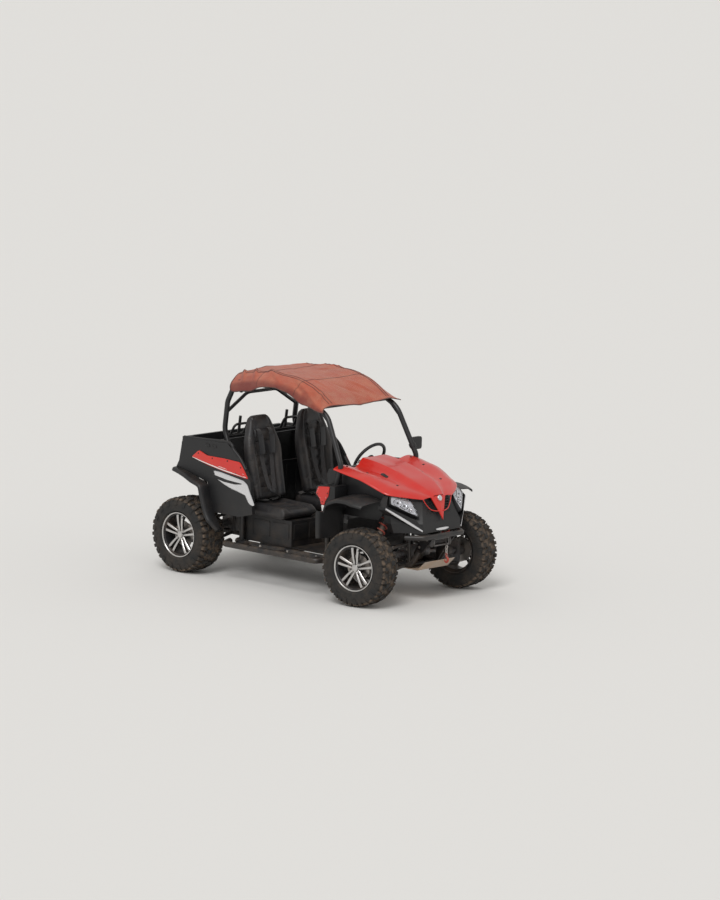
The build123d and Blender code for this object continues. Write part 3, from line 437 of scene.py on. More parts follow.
# %% Make the tyre rubber
def axle_distance(tree, place):
    """How far a point lies from the axle, in the wheel's own coordinates."""
    axes = add(tree, "SeparateXYZ", Vector=place.outputs["Object"])
    squares = [times(tree, axes.outputs[key], axes.outputs[key]) for key in "YZ"]
    return calc(tree, "SQRT", calc(tree, "ADD", *squares))


def tyre_rubber_finish():
    material = finish("tyre_rubber", (0.013, 0.013, 0.013, 1), 0.82, dust=0.10, dust_top=0.8, grain=260, bump=0.25)
    tree = material.node_tree
    shader = tree.nodes["Principled BSDF"]
    place = add(tree, "TexCoord")
    radius = axle_distance(tree, place)
    # the band of distances between the ring and the blocks' tops
    groove = times(tree, step_up(tree, radius, 0.300, 0.309),
                   calc(tree, "SUBTRACT", 1.0, step_up(tree, radius, 0.314, 0.324)))
    mottle = add(tree, "TexNoise", Vector=place.outputs["Object"], Scale=30.0, Detail=5.0)
    share = times(tree, groove, step_up(tree, mottle.outputs["Fac"], 0.3, 0.7))
    under = shader.inputs["Base Color"].links[0].from_socket
    tree.links.new(blend_colour(tree, times(tree, share, 0.30), under, DUST_COLOUR),
                   shader.inputs["Base Color"])
    rings = calc(tree, "SINE", times(tree, radius, 2400.0))
    bump = add(tree, "Bump", Strength=0.10, Distance=0.001, Height=rings)
    tree.links.new(shader.inputs["Normal"].links[0].from_socket, bump.inputs["Normal"])
    tree.links.new(bump.outputs["Normal"], shader.inputs["Normal"])
    return material


tyre_rubber = tyre_rubber_finish()
print("tyre rubber with", len(tyre_rubber.node_tree.nodes), "nodes")

# %% [markdown]
# ## Machined alloy
#
# The wheels are cast, painted dark and then turned on a lathe, so their front faces are bare bright
# metal with very fine circular grooves, while the pockets stay dark. Two finishes do this, one for
# each kind of face. The grooves are a sine of the distance from the axle.

# %% Make the wheel finishes
def machined_alloy_finish():
    material = finish("machined_alloy", (0.60, 0.59, 0.58, 1), 0.27, metallic=1.0, dust=0.14, dust_top=0.8,
                      wear=((0.45, 0.43, 0.41, 1), 0.5, 1.0))
    tree = material.node_tree
    shader = tree.nodes["Principled BSDF"]
    radius = axle_distance(tree, add(tree, "TexCoord"))
    grooves = calc(tree, "SINE", times(tree, radius, 5200.0))
    bump = add(tree, "Bump", Strength=0.06, Distance=0.0005, Height=grooves)
    tree.links.new(bump.outputs["Normal"], shader.inputs["Normal"])
    return material


machined_alloy = machined_alloy_finish()
alloy_pocket = finish("alloy_pocket", (0.022, 0.022, 0.024, 1), 0.4, metallic=0.3, dust=0.22, dust_top=0.8,
                      grain=300, bump=0.1)
bare_steel = finish("bare_steel", (0.42, 0.40, 0.38, 1), 0.36, metallic=1.0, dust=0.45, grain=140, bump=0.1)
chrome = finish("lamp_bowl", (0.76, 0.76, 0.78, 1), 0.30, metallic=0.4, dust=0.05, grain=60, bump=0.02)
print("machined alloy with", len(machined_alloy.node_tree.nodes), "nodes")

# %% [markdown]
# ## Canvas
#
# The roof is a woven canvas. Two crossed waves 3 mm apart make the weave in the bump. Painted light
# lies in its colour: the faces that look up are a lit salmon and the sides a shaded red-brown,
# as painted sunlight and painted shade, and real stains run through both as two sizes of noise.

# %% Make the canvas
# the canvas's colour on faces lit from above and on its shaded sides: painted light and painted shade
CANVAS_LIT_TOP = (0.50, 0.108, 0.052, 1)
CANVAS_SHADED_SIDE = (0.185, 0.030, 0.020, 1)
FULL_TURN = 6.2832


def thread_wave(tree, distance, threads):
    """A wave with the given number of threads to a metre."""
    return calc(tree, "SINE", times(tree, distance, times(tree, threads, FULL_TURN)))


def weave_group():
    tree, given, out = new_group("weave", [("Threads", "Float", 330.0)], [("Height", "Float")])
    place = add(tree, "TexCoord")
    axes = add(tree, "SeparateXYZ", Vector=place.outputs["Object"])
    along = thread_wave(tree, axes.outputs["Y"], given.outputs["Threads"])
    # across, the threads are counted on the height too, so that they go on down the sides
    across = calc(tree, "ADD", axes.outputs["X"], axes.outputs["Z"])
    over = thread_wave(tree, across, given.outputs["Threads"])
    plug(tree, out.inputs["Height"], times(tree, along, over))
    return tree


WEAVE = weave_group()


# %% Make the canvas finishes
# deep is the shaded colour of the sides and faded the lit colour of the faces that look up: painted shade and painted
# light
def canvas_finish(name, deep, faded, dusty=0.45):
    material = bpy.data.materials.new(name)
    material.use_nodes = True
    tree = material.node_tree
    shader = tree.nodes["Principled BSDF"]
    place = add(tree, "TexCoord")
    faces = add(tree, "SeparateXYZ", Vector=place.outputs["Normal"])
    # faces that look up take the lit colour and the sides the shaded one, mixed with a random tone from the broad
    # noise: painted light and painted shade
    up = step_up(tree, faces.outputs["Z"], 0.30, 0.95)
    broad = add(tree, "TexNoise", Vector=place.outputs["Object"], Scale=3.5, Detail=6.0, Roughness=0.6)
    fine = add(tree, "TexNoise", Vector=place.outputs["Object"], Scale=60.0, Detail=4.0, Roughness=0.7)
    share = calc(tree, "ADD", times(tree, up, 0.85),
                 times(tree, calc(tree, "SUBTRACT", broad.outputs["Fac"], 0.5), 0.7))
    colour = blend_colour(tree, calc(tree, "MINIMUM", calc(tree, "MAXIMUM", share, 0.0), 1.0), deep, faded)
    stain = times(tree, step_up(tree, fine.outputs["Fac"], 0.55, 0.8), 0.35)
    colour = blend_colour(tree, stain, colour, tuple(c * 0.55 for c in deep[:3]) + (1,))
    mask = use_group(tree, DUST, Amount=dusty, Top=3.0)["Mask"]
    colour = blend_colour(tree, mask, colour, (0.50, 0.27, 0.17, 1))
    plug(tree, shader.inputs["Base Color"], colour)
    rough = calc(tree, "ADD", times(tree, broad.outputs["Fac"], 0.15), 0.74)
    plug(tree, shader.inputs["Roughness"], rough)
    shader.inputs["Sheen Weight"].default_value = 0.25
    weave = use_group(tree, WEAVE, Threads=330.0)["Height"]
    bump = add(tree, "Bump", Strength=0.35, Distance=0.001, Height=weave)
    soft = add(tree, "Bump", Strength=0.5, Distance=0.004, Height=broad.outputs["Fac"])
    tree.links.new(soft.outputs["Normal"], bump.inputs["Normal"])
    tree.links.new(bump.outputs["Normal"], shader.inputs["Normal"])
    return material


# the binding tape and the belt webbing take the same painted light: lit on faces that look up, shaded at the sides
canopy_canvas = canvas_finish("canopy_canvas", CANVAS_SHADED_SIDE, CANVAS_LIT_TOP)
canopy_binding = canvas_finish("canopy_binding", (0.06, 0.014, 0.012, 1), (0.13, 0.030, 0.022, 1))
webbing = canvas_finish("belt_webbing", (0.018, 0.018, 0.020, 1), (0.05, 0.048, 0.046, 1), 0.04)
print("canvas with", len(canopy_canvas.node_tree.nodes), "nodes")

# %% [markdown]
# ## Lamps and the sand-worn plate
#
# A lamp's lens is real glass to the shader, over bright bowls, so light bends in it. The plate under
# the nose is bare alloy that sand has scratched and covered.

# %% Make the lenses and the plate's finish
def lens_finish(name, colour, roughness):
    material = bpy.data.materials.new(name)
    material.use_nodes = True
    tree = material.node_tree
    shader = tree.nodes["Principled BSDF"]
    shader.inputs["Transmission Weight"].default_value = 1.0
    shader.inputs["IOR"].default_value = 1.45
    place = add(tree, "TexCoord")
    speck = add(tree, "TexNoise", Vector=place.outputs["Object"], Scale=70.0, Detail=5.0)
    haze = step_up(tree, speck.outputs["Fac"], 0.45, 0.8)
    plug(tree, shader.inputs["Roughness"], calc(tree, "ADD", times(tree, haze, 0.06), roughness))
    plug(tree, shader.inputs["Base Color"],
         blend_colour(tree, times(tree, haze, 0.35), colour, (0.75, 0.62, 0.5, 1)))
    return material


lamp_lens = lens_finish("lamp_lens", (0.96, 0.97, 1.0, 1), 0.03)
tail_lens = lens_finish("tail_lens", (0.75, 0.02, 0.015, 1), 0.12)
skid_metal = finish("skid_metal", (0.40, 0.33, 0.27, 1), 0.55, metallic=0.6, dust=1.3, dust_top=1.2, grain=120,
                    bump=0.2)
print("materials", len(bpy.data.materials))

# %% [markdown]
# ## Helpers for shapes
#
# Almost every piece here is a row of rings joined by faces, an outline drawn out into a slab, or a
# pipe along a path. A `Form` gathers such shapes, each with a number that says which material it
# takes, and one function turns the form into an object with softened edges.

# %% Define the shape helpers
class Form:
    """Corners and faces that grow shape by shape, with a material number for each face."""

    def __init__(self):
        self.corners, self.faces, self.marks = [], [], []

    def add(self, shape, mark=0, place=None):
        corners, faces = shape
        start = len(self.corners)
        self.corners += [(place @ Vector(c)) if place else Vector(c) for c in corners]
        self.faces += [[start + i for i in face] for face in faces]
        self.marks += [mark] * len(faces) if isinstance(mark, int) else mark
        return self


def skin(rings, around=True, ends=True, joined=False):
    """Faces between rows of corners: around closes each ring, joined closes the row of rings."""
    count = len(rings[0])
    corners = [c for ring in rings for c in ring]
    faces = []
    for i in range(len(rings) if joined else len(rings) - 1):
        a, b = i * count, (i + 1) % len(rings) * count
        for j in range(count if around else count - 1):
            k = (j + 1) % count
            faces.append([a + j, a + k, b + k, b + j])
    if around and ends and not joined:
        faces += [list(range(count))[::-1], list(range(len(corners) - count, len(corners)))]
    return corners, faces


# %% Define turned and drawn-out shapes
def lathe(profile, steps=48, closed=True):
    """A profile of (x, radius) points turned about the X axis."""
    rings = []
    for i in range(steps):
        angle = 2 * pi * i / steps
        rings.append([(x, r * sin(angle), r * cos(angle)) for x, r in profile])
    return skin(rings, around=closed, joined=True)


def slab(outline, x0, x1):
    """A (y, z) outline drawn out along X."""
    return skin([[(x, y, z) for y, z in outline] for x in (x0, x1)])


def block(low, high):
    (x0, y0, z0), (x1, y1, z1) = low, high
    return slab([(y0, z0), (y1, z0), (y1, z1), (y0, z1)], x0, x1)


# %% Define curves and pipes
def smooth_path(points, steps=8, closed=False):
    """Points along a smooth curve through the given ones."""
    points = [Vector(p) for p in points]
    count = len(points)
    path = []
    for i in range(count if closed else count - 1):
        a, b, c, d = (points[(i + k) % count] if closed else points[min(max(i + k, 0), count - 1)]
                      for k in (-1, 0, 1, 2))
        for s in range(steps):
            t = s / steps
            path.append(0.5 * (2 * b + (c - a) * t + (2 * a - 5 * b + 4 * c - d) * t ** 2
                               + (3 * b - a - 3 * c + d) * t ** 3))
    return path if closed else path + [points[-1]]


def curve_value(knots, at):
    """A smooth curve through (place, value) knots, read at a place."""
    index = 0
    while index < len(knots) - 2 and at > knots[index + 1][0]:
        index += 1
    (xa, a), (xb, b), (xc, c), (xd, d) = (knots[min(max(index + k, 0), len(knots) - 1)] for k in (-1, 0, 1, 2))
    run = xc - xb
    t = min(max((at - xb) / run, 0), 1)
    lead = (c - a) / (xc - xa) * run if xc != xa else 0
    tail = (d - b) / (xd - xb) * run if xd != xb else 0
    return ((2 * t ** 3 - 3 * t * t + 1) * b + (t ** 3 - 2 * t * t + t) * lead + (3 * t * t - 2 * t ** 3) * c
            + (t ** 3 - t * t) * tail)


def heading(path, i):
    """The direction of an open path at one of its points."""
    return (path[min(i + 1, len(path) - 1)] - path[max(i - 1, 0)]).normalized()


def pipe(path, radius, sides=10, closed=False):
    """A round pipe along a path, its section kept from twisting. The radius may be a list."""
    path = [Vector(p) for p in path]
    count = len(path)
    radii = radius if isinstance(radius, (list, tuple)) else [radius] * count
    headings = [(path[(i + 1) % count] - path[i - 1]).normalized() if closed else heading(path, i)
                for i in range(count)]
    before = headings[0]
    side = before.orthogonal().normalized()
    rings = []
    for middle, r, along in zip(path, radii, headings):
        side = (before.rotation_difference(along) @ side).normalized()
        before = along
        other = along.cross(side)
        rings.append([middle + (side * cos(2 * pi * j / sides) + other * sin(2 * pi * j / sides)) * r
                      for j in range(sides)])
    return skin(rings, joined=closed)


# %% Define plates and bolt heads
def plate(corners, thickness):
    """A flat plate whose outer face has the given corners, its thickness laid behind them."""
    corners = [Vector(c) for c in corners]
    out = (corners[1] - corners[0]).cross(corners[2] - corners[0]).normalized()
    return skin([[c - out * thickness for c in corners], corners])


def bolt_head(radius=0.009, height=0.006):
    """A hexagonal head with a washer, standing up along +X from the origin."""
    rings = [[(x, r * sin(a * pi / 6), r * cos(a * pi / 6)) for a in range(12)]
             for x, r in ((0, radius * 1.35), (height * 0.3, radius * 1.35))]
    head = [[(x, r * sin((a // 2 * 2) * pi / 6), r * cos((a // 2 * 2) * pi / 6)) for a in range(0, 12, 2)]
            for x, r in ((height * 0.3, radius), (height * 0.9, radius), (height, radius * 0.85))]
    base, top = skin(rings), skin(head)
    start = len(base[0])
    return base[0] + top[0], base[1] + [[start + i for i in face] for face in top[1]]


def aim(place, out):
    """The matrix that moves a shape made along +X to a place, facing out."""
    turn = Vector((1, 0, 0)).rotation_difference(Vector(out))
    return Matrix.Translation(Vector(place)) @ turn.to_matrix().to_4x4()


# %% Define how a piece is made and dressed
def make_piece(name, form, materials, body="chassis", replaces=(), at=None, bevel=0.0, rounds=2,
               bevel_from=32, smooth=38, subdivide=0):
    """Turns a form into an object that rides on a body of the frame."""
    materials = materials if isinstance(materials, (list, tuple)) else [materials]
    mesh = bpy.data.meshes.new(name)
    mesh.from_pydata([tuple(c) for c in form.corners], [], form.faces)
    for polygon, mark in zip(mesh.polygons, form.marks):
        polygon.material_index = mark
    work = bmesh.new()
    work.from_mesh(mesh)
    bmesh.ops.remove_doubles(work, verts=work.verts, dist=1e-5)
    bmesh.ops.recalc_face_normals(work, faces=work.faces)
    if subdivide:
        bmesh.ops.subdivide_edges(work, edges=work.edges, cuts=subdivide, use_grid_fill=True)
    if bevel:
        sharp = [e for e in work.edges if len(e.link_faces) == 2 and e.calc_face_angle(0) > radians(bevel_from)]
        bmesh.ops.bevel(work, geom=sharp, offset=bevel, segments=rounds, profile=0.6, affect="EDGES",
                        clamp_overlap=True)
    work.to_mesh(mesh)
    work.free()
    mesh.shade_smooth()
    mesh.set_sharp_from_angle(angle=radians(smooth))
    for material in materials:
        mesh.materials.append(material)
    piece = bpy.data.objects.new(name, mesh)
    scene.collection.objects.link(piece)
    if at is not None:
        piece.matrix_world = at
        bpy.context.view_layer.update()
    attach(piece, body)
    if replaces:
        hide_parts(*replaces)
    print(name, "has", len(mesh.polygons), "faces")
    return piece


def settle(piece):
    """Applies the piece's modifiers to its mesh."""
    shown = bpy.context.evaluated_depsgraph_get()
    mesh = bpy.data.meshes.new_from_object(piece.evaluated_get(shown))
    piece.modifiers.clear()
    piece.data = mesh
    return mesh


def thicken(piece, thickness):
    """Gives a sheet its thickness, laid behind its face, as a modifier that settle applies."""
    wall = piece.modifiers.new("wall", "SOLIDIFY")
    wall.thickness = thickness
    wall.offset = -1


def dress(name, material, smooth=40):
    """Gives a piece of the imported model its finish."""
    piece = frame["nodes"][name]
    for index in range(len(piece.material_slots)):
        piece.material_slots[index].material = material
    if not len(piece.material_slots):
        piece.data.materials.append(material)
    piece.data.set_sharp_from_angle(angle=radians(smooth))


# %% [markdown]
# ## The metal that stays as it is
#
# The frame's tubes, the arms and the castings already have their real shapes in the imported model.
# They only need their finishes.

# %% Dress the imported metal
for node in ("frame_rails", "lower_frame", "cage_side_left", "cage_side_right", "cage_cross_bars", "front_arms",
             "rear_arms", "step_bars", "front_bumper", "steering_column"):
    dress(node, black_paint)
for node in ("final_drives", "engine_block", "rear_uprights", "knuckle_left", "knuckle_right"):
    dress(node, cast_metal)
dress("tie_rods", bare_steel)
dress("floor_pan", black_plastic)
dress("skid_plate", skid_metal)
dress("exhaust", steel)
dress("mirror", black_plastic)
print("dressed", sum(1 for node in frame["nodes"].values() if node.data.materials))

# %% [markdown]
# ## Tyres
#
# An off-road tyre is a thick ring with separate rubber blocks. The ring is a profile turned about
# the axle. Each block is an outline on the flat tread, wrapped round the ring: its corners have a
# place across the tyre and a distance along it. The outer blocks reach over the shoulder, where
# the ring falls away, so a block's height is read from one shared curve.

# %% Shape a tyre
LUGS = 18
TREAD_CURVE = [(0.0, 0.3290), (0.45, 0.3285), (0.70, 0.3265), (0.86, 0.3210), (0.95, 0.3110), (1.01, 0.2900)]


def tread_radius(share):
    """The blocks' outer radius at a share of the half width."""
    share = abs(share)
    for (a, ra), (b, rb) in zip(TREAD_CURVE, TREAD_CURVE[1:]):
        if share <= b:
            return ra + (rb - ra) * (share - a) / (b - a)
    return TREAD_CURVE[-1][1]


def tread_block(outline, turn, half):
    """One rubber block: (share across, metres along) corners, tapering to its top."""
    middle = Vector((sum(a for a, _ in outline), sum(t for _, t in outline))) / len(outline)
    rings = []
    for sink, grow in ((0.030, 1.10), (0.0035, 1.0), (0.0, 0.90)):
        ring = []
        for a, t in outline:
            share, along = middle + (Vector((a, t)) - middle) * grow
            radius = tread_radius(share) - sink
            angle = turn + along / tyre_radius
            ring.append((share * half, radius * sin(angle), radius * cos(angle)))
        rings.append(ring)
    return skin(rings)


# %% Put a tyre together
def tyre_form(width):
    half = width / 2
    wall = [(0.80, 0.1965), (0.90, 0.204), (0.965, 0.213), (0.975, 0.220), (0.960, 0.227), (0.990, 0.245),
            (0.985, 0.270), (0.955, 0.288), (0.90, 0.298), (0.76, 0.305), (0.40, 0.3095), (0.0, 0.311)]
    outside = [(-a * half, r) for a, r in wall] + [(a * half, r) for a, r in wall[-2::-1]]
    inside = [(0.72 * half, 0.186), (-0.72 * half, 0.186)]
    form = Form().add(lathe(outside + inside, 72))
    pitch = 2 * pi / LUGS
    for i in range(LUGS):
        turn = i * pitch
        # the middle pair leans, each half a pitch behind the other
        form.add(tread_block([(-0.43, -0.030), (-0.24, -0.037), (-0.04, -0.014), (-0.06, 0.014), (-0.23, 0.004),
                              (-0.41, 0.012)], turn, half))
        form.add(tread_block([(0.43, 0.030), (0.24, 0.037), (0.04, 0.014), (0.06, -0.014), (0.23, -0.004),
                              (0.41, -0.012)], turn + pitch / 2, half))
        for side in (-1, 1):
            # the long shoulder block and the short one between two of them
            phase = turn + (0.26 if side < 0 else -0.26) * pitch
            form.add(tread_block([(side * 0.53, -0.017), (side * 0.80, -0.024), (side * 1.005, -0.020),
                                  (side * 1.005, 0.020), (side * 0.80, 0.024), (side * 0.51, 0.013)], phase, half))
            form.add(tread_block([(side * 0.56, -0.015), (side * 0.93, -0.016), (side * 0.93, 0.014),
                                  (side * 0.54, 0.017)], phase + pitch / 2, half))
            # a rib down the wall under the long block
            x0, x1 = side * 0.955 * half, side * 1.0 * half
            rib = []
            for r, grow in ((0.293, 1.0), (0.262, 0.8), (0.244, 0.5)):
                rib.append([(x, r * sin(phase + t * grow), r * cos(phase + t * grow))
                            for x, t in ((x0, -0.035), (x1, -0.028), (x1, 0.028), (x0, 0.035))])
            form.add(skin(rib))
    return form


# %% [markdown]
# ## Rims
#
# Each rim is a turned barrel with five pairs of slim spokes. A spoke is a row of cross-sections from
# the hub out to the barrel: its front face curves outwards and is machined, its sides are dark. The
# hub carries a cap and four nuts, and a wavy brake disc turns with the wheel behind the spokes.

# %% Shape a rim
BRIGHT, DARK, IRON = 0, 1, 2
SPOKE_PAIRS = 5
RIM_INSET = 0.014


def spoke(side, edge):
    """One spoke of a pair, from the hub up along +Z."""
    rings = []
    for r, face in ((0.026, 0.030), (0.050, 0.026), (0.085, 0.019), (0.125, 0.015), (0.158, 0.015), (0.176, 0.019)):
        share = (r - 0.030) / 0.151
        middle = side * (0.0135 + 0.0165 * share)
        half = 0.0085 + 0.0040 * share
        out = edge - face
        deep = out - 0.026
        rings.append([(deep, middle - half, r), (out - 0.004, middle - half, r), (out, middle - half + 0.004, r),
                      (out, middle + half - 0.004, r), (out - 0.004, middle + half, r), (deep, middle + half, r)])
    shape = skin(rings)
    marks = [BRIGHT if 1 <= i % 6 <= 3 else DARK for i in range(len(shape[1]) - 2)] + [DARK, DARK]
    return shape, marks


# %% Put a rim together
def rim_form(width):
    edge = width / 2 - RIM_INSET
    barrel = [(-edge, 0.195), (-edge + 0.012, 0.195), (-edge + 0.012, 0.179), (edge - 0.012, 0.179),
              (edge - 0.012, 0.195), (edge, 0.195), (edge, 0.188), (edge - 0.004, 0.184), (edge - 0.012, 0.181),
              (edge - 0.018, 0.173), (edge - 0.050, 0.166), (-edge + 0.03, 0.166), (-edge, 0.187)]
    ring = lathe(barrel, 80)
    per_step = len(barrel)
    marks = [BRIGHT if i % per_step in (5, 6) else DARK for i in range(len(ring[1]))]
    form = Form().add(ring, marks)
    for i in range(SPOKE_PAIRS):
        turn = Matrix.Rotation(2 * pi * i / SPOKE_PAIRS, 4, "X")
        for side in (-1, 1):
            form.add(*spoke(side, edge), place=turn)
    face = edge - 0.030
    hub_in = edge - 0.014 - 0.070
    form.add(lathe([(hub_in, 0.052), (face - 0.006, 0.058), (face, 0.052), (face, 0.036), (face, 0.0),
                    (hub_in, 0.0)], 40, closed=False), DARK)
    form.add(lathe([(face, 0.031), (face + 0.010, 0.029), (face + 0.014, 0.022), (face + 0.015, 0.0)], 32,
                   closed=False), BRIGHT)
    for i in range(4):
        angle = pi / 4 + i * pi / 2
        spot = Matrix.Translation((face, 0.0425 * sin(angle), 0.0425 * cos(angle)))
        form.add(bolt_head(0.0075, 0.012), BRIGHT, spot)
    # the brake disc's wavy rim
    waves = [(0.109 + 0.003 * cos(10 * a), a) for a in (2 * pi * k / 120 for k in range(120))]
    form.add(skin([[(x, r * sin(a), r * cos(a)) for r, a in waves] for x in (hub_in, hub_in + 0.006)]), IRON)
    valve_turn = 0.30
    stem = [(edge - 0.022 + x, r * sin(valve_turn), r * cos(valve_turn))
            for x, r in ((0.0, 0.170), (0.012, 0.163), (0.026, 0.160))]
    form.add(pipe(stem, 0.004, 8), DARK)
    return form


# %% [markdown]
# ## Putting the wheels on
#
# The four wheels share two shapes, since the rear tyres are wider. Each one moves to the middle
# between its tyre's two walls. A wheel on the right is the same shape turned round, so that its
# spokes face out, and a front wheel also has the parked steering angle.

# %% Put the wheels on
def wheel_place(end, side):
    joint = JOINTS[f"wheel_{end}_{side}_spin"]
    low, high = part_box(f"tyre_{end}_{side}")
    middle = (low + high) / 2
    turn = parked_turn if end == "front" else 0.0
    if SIDES[side] < 0:
        turn += pi
    return Matrix.Translation((middle.x, middle.y, joint["pos_m"][2])) @ Matrix.Rotation(turn, 4, "Z")


for end, width in (("front", front_tyre_width), ("rear", rear_tyre_width)):
    for side in SIDES:
        place = wheel_place(end, side)
        body = f"wheel_{end}_{side}"
        make_piece(f"{end}_tyre_{side}", tyre_form(width), tyre_rubber, body,
                   [f"tyre_{end}_{side}"], at=place, smooth=30)
        rim = make_piece(f"{end}_rim_{side}", rim_form(width), [machined_alloy, alloy_pocket, bare_steel], body,
                         [f"rim_{end}_{side}"], at=place, smooth=32)

# %% [markdown]
# ## The canvas roof
#
# One sheet of canvas lies over the cage, hangs down at both sides and is tied along its edges. Its
# shape is a table of rows from the tail to the front, each with heights from the middle out to the
# hem. A smooth curve runs through the table both ways. Folds are ridges along a line, pulled up or
# down by up to two centimetres, as a sculpting brush would drag them. A simulation would lose the
# hem's exact line, so the sheet's shape is given.

# %% Table the canopy's shape
# columns: y, z of the middle, z at 0.20, at 0.36 and at 0.45 m from it, z of the right hem, of the left hem
CANOPY_ROWS = [
    (0.762, 1.772, 1.752, 1.735, 1.680, 1.606, 1.604),
    (0.690, 1.780, 1.774, 1.756, 1.697, 1.611, 1.612),
    (0.585, 1.786, 1.783, 1.774, 1.712, 1.617, 1.622),
    (0.468, 1.789, 1.788, 1.785, 1.732, 1.643, 1.648),
    (0.303, 1.793, 1.796, 1.803, 1.757, 1.694, 1.680),
    (0.200, 1.786, 1.789, 1.790, 1.748, 1.689, 1.690),
    (0.071, 1.775, 1.779, 1.783, 1.738, 1.680, 1.684),
    (-0.029, 1.758, 1.763, 1.764, 1.712, 1.637, 1.660),
    (-0.145, 1.716, 1.724, 1.728, 1.676, 1.592, 1.620),
    (-0.261, 1.654, 1.661, 1.665, 1.626, 1.562, 1.585),
    (-0.330, 1.607, 1.618, 1.622, 1.594, 1.550, 1.570),
    (-0.378, 1.566, 1.586, 1.592, 1.576, 1.542, 1.562),
]
CANOPY_HALF = 0.487

# %% Table the canopy's folds
# folds: start (x, y), end (x, y), width, height
FOLDS = [
    ((-0.20, 0.66), (-0.45, 0.45), 0.024, 0.021), ((-0.27, 0.74), (-0.46, 0.58), 0.020, 0.019),
    ((-0.16, 0.50), (-0.43, 0.30), 0.026, 0.014), ((-0.35, 0.36), (-0.46, 0.16), 0.020, 0.013),
    ((-0.38, 0.10), (-0.48, -0.16), 0.024, -0.010), ((-0.40, -0.02), (-0.47, -0.28), 0.020, 0.010),
    ((-0.30, -0.20), (-0.47, -0.33), 0.022, 0.009), ((0.22, 0.70), (0.44, 0.50), 0.022, 0.012),
    ((0.18, 0.45), (0.42, 0.33), 0.026, 0.009), ((0.30, 0.30), (0.46, 0.16), 0.022, 0.010),
    ((0.36, 0.02), (0.47, -0.20), 0.022, 0.010), ((0.10, 0.26), (0.34, 0.20), 0.030, 0.008),
    ((-0.10, -0.12), (0.12, -0.30), 0.030, -0.008), ((0.12, -0.10), (0.26, -0.33), 0.028, 0.008),
    ((-0.05, 0.62), (0.02, 0.30), 0.050, -0.008), ((-0.24, 0.02), (-0.20, -0.24), 0.030, 0.007),
]
ACROSS, ALONG = 96, 110


def fold_lift(x, y):
    lift = 0.0
    for (x0, y0), (x1, y1), width, height in FOLDS:
        run = Vector((x1 - x0, y1 - y0))
        t = max(0.0, min(1.0, (Vector((x - x0, y - y0)).dot(run)) / run.length_squared))
        away = (Vector((x - x0, y - y0)) - run * t).length / width
        lift += height * max(0.0, 1 - away * away) ** 2 * sin(pi * (0.05 + 0.90 * t))
    return lift


# %% Read a point of the canopy
def canopy_point(u, v):
    """A point of the canvas: u from -1 at the right hem to 1 at the left, v from 0 at the tail to 1 in front."""
    y = CANOPY_ROWS[0][0] + (CANOPY_ROWS[-1][0] - CANOPY_ROWS[0][0]) * v
    columns = [curve_value([(-row[0], row[k]) for row in CANOPY_ROWS], -y) for k in (1, 2, 3, 4)]
    hem = curve_value([(-row[0], row[5 if u < 0 else 6]) for row in CANOPY_ROWS], -y)
    # along the section's own length: flat over the top, then down the side
    share = abs(u)
    side = [(0.0, 0.0, columns[0]), (0.30, 0.20, columns[1]), (0.56, 0.36, columns[2]), (0.74, 0.452, columns[3]),
            (0.86, 0.479, (columns[3] + hem) / 2), (1.0, CANOPY_HALF, hem)]
    x = curve_value([(s, px) for s, px, _ in side], share) * (1 if u >= 0 else -1)
    z = curve_value([(s, pz) for s, _, pz in side], share)
    # the cut edge waves a little, and the tail edge bows in at its middle
    z += 0.005 * sin(31 * y + (2.0 if u < 0 else 0.4)) * max(0.0, share - 0.8) * 5
    y -= (0.016 * (1 - share) + 0.058 * share ** 2) * (1 - v) ** 3
    y += 0.004 * sin(19 * x) * (1 - v) ** 6 + 0.010 * cos(3 * pi * u) * v ** 8
    rough = noise.noise(Vector((x * 7, y * 7, 2.1))) * 0.004 + noise.noise(Vector((x * 19, y * 15, 5.7))) * 0.0022
    return Vector((x, y, z + fold_lift(x, y) + rough))


# %% [markdown]
# ## From table to cloth
#
# The grid of points becomes a surface, which gets its 2 mm thickness here. Binding tape closes the
# edges, a pair of seams runs along each shoulder, where the side panels are sewn on, and two single
# seams cross the roof. They follow the same points, so they lie on the cloth.

# %% Make the canopy
CLOTH_THICKNESS = 0.002


def canopy_cloth():
    rows = [[canopy_point(-1 + 2 * i / ACROSS, j / ALONG) for i in range(ACROSS + 1)] for j in range(ALONG + 1)]
    form = Form().add(skin(rows, around=False))
    piece = make_piece("canopy_cloth", form, canopy_canvas, replaces=["canopy"], smooth=60)
    thicken(piece, CLOTH_THICKNESS)
    settle(piece)
    flat_width = sum((rows[ALONG // 2][i + 1] - rows[ALONG // 2][i]).length for i in range(ACROSS))
    flat_length = sum((rows[j + 1][ACROSS // 2] - rows[j][ACROSS // 2]).length for j in range(ALONG))
    area = sum(((rows[j + 1][i] - rows[j][i]).cross(rows[j][i + 1] - rows[j][i])).length
               for i in range(ACROSS) for j in range(ALONG))
    print("canvas measures", round(flat_width, 3), "by", round(flat_length, 3), "m,", round(area, 3),
          "square metres")
    return piece, rows


def edge_tape(rows):
    """A folded tape along all four edges of the cloth."""
    border = [rows[0][i] for i in range(0, ACROSS, 2)] + [rows[j][ACROSS] for j in range(0, ALONG, 2)]
    border += [rows[ALONG][i] for i in range(ACROSS, 0, -2)] + [rows[j][0] for j in range(ALONG, 0, -2)]
    return Form().add(pipe(border, 0.0042, 8, closed=True))


def seam_welts():
    form = Form()
    for side in (-1, 1):
        for u in (0.525, 0.580):
            path = [canopy_point(side * u, 0.02 + 0.96 * j / 90) + Vector((0, 0, 0.0012)) for j in range(91)]
            form.add(pipe(path, 0.0028, 6))
    for v in (0.30, 0.70):
        path = [canopy_point(-0.94 + 1.88 * i / 80, v) + Vector((0, 0, 0.0008)) for i in range(81)]
        form.add(pipe(path, 0.0020, 6))
    return form


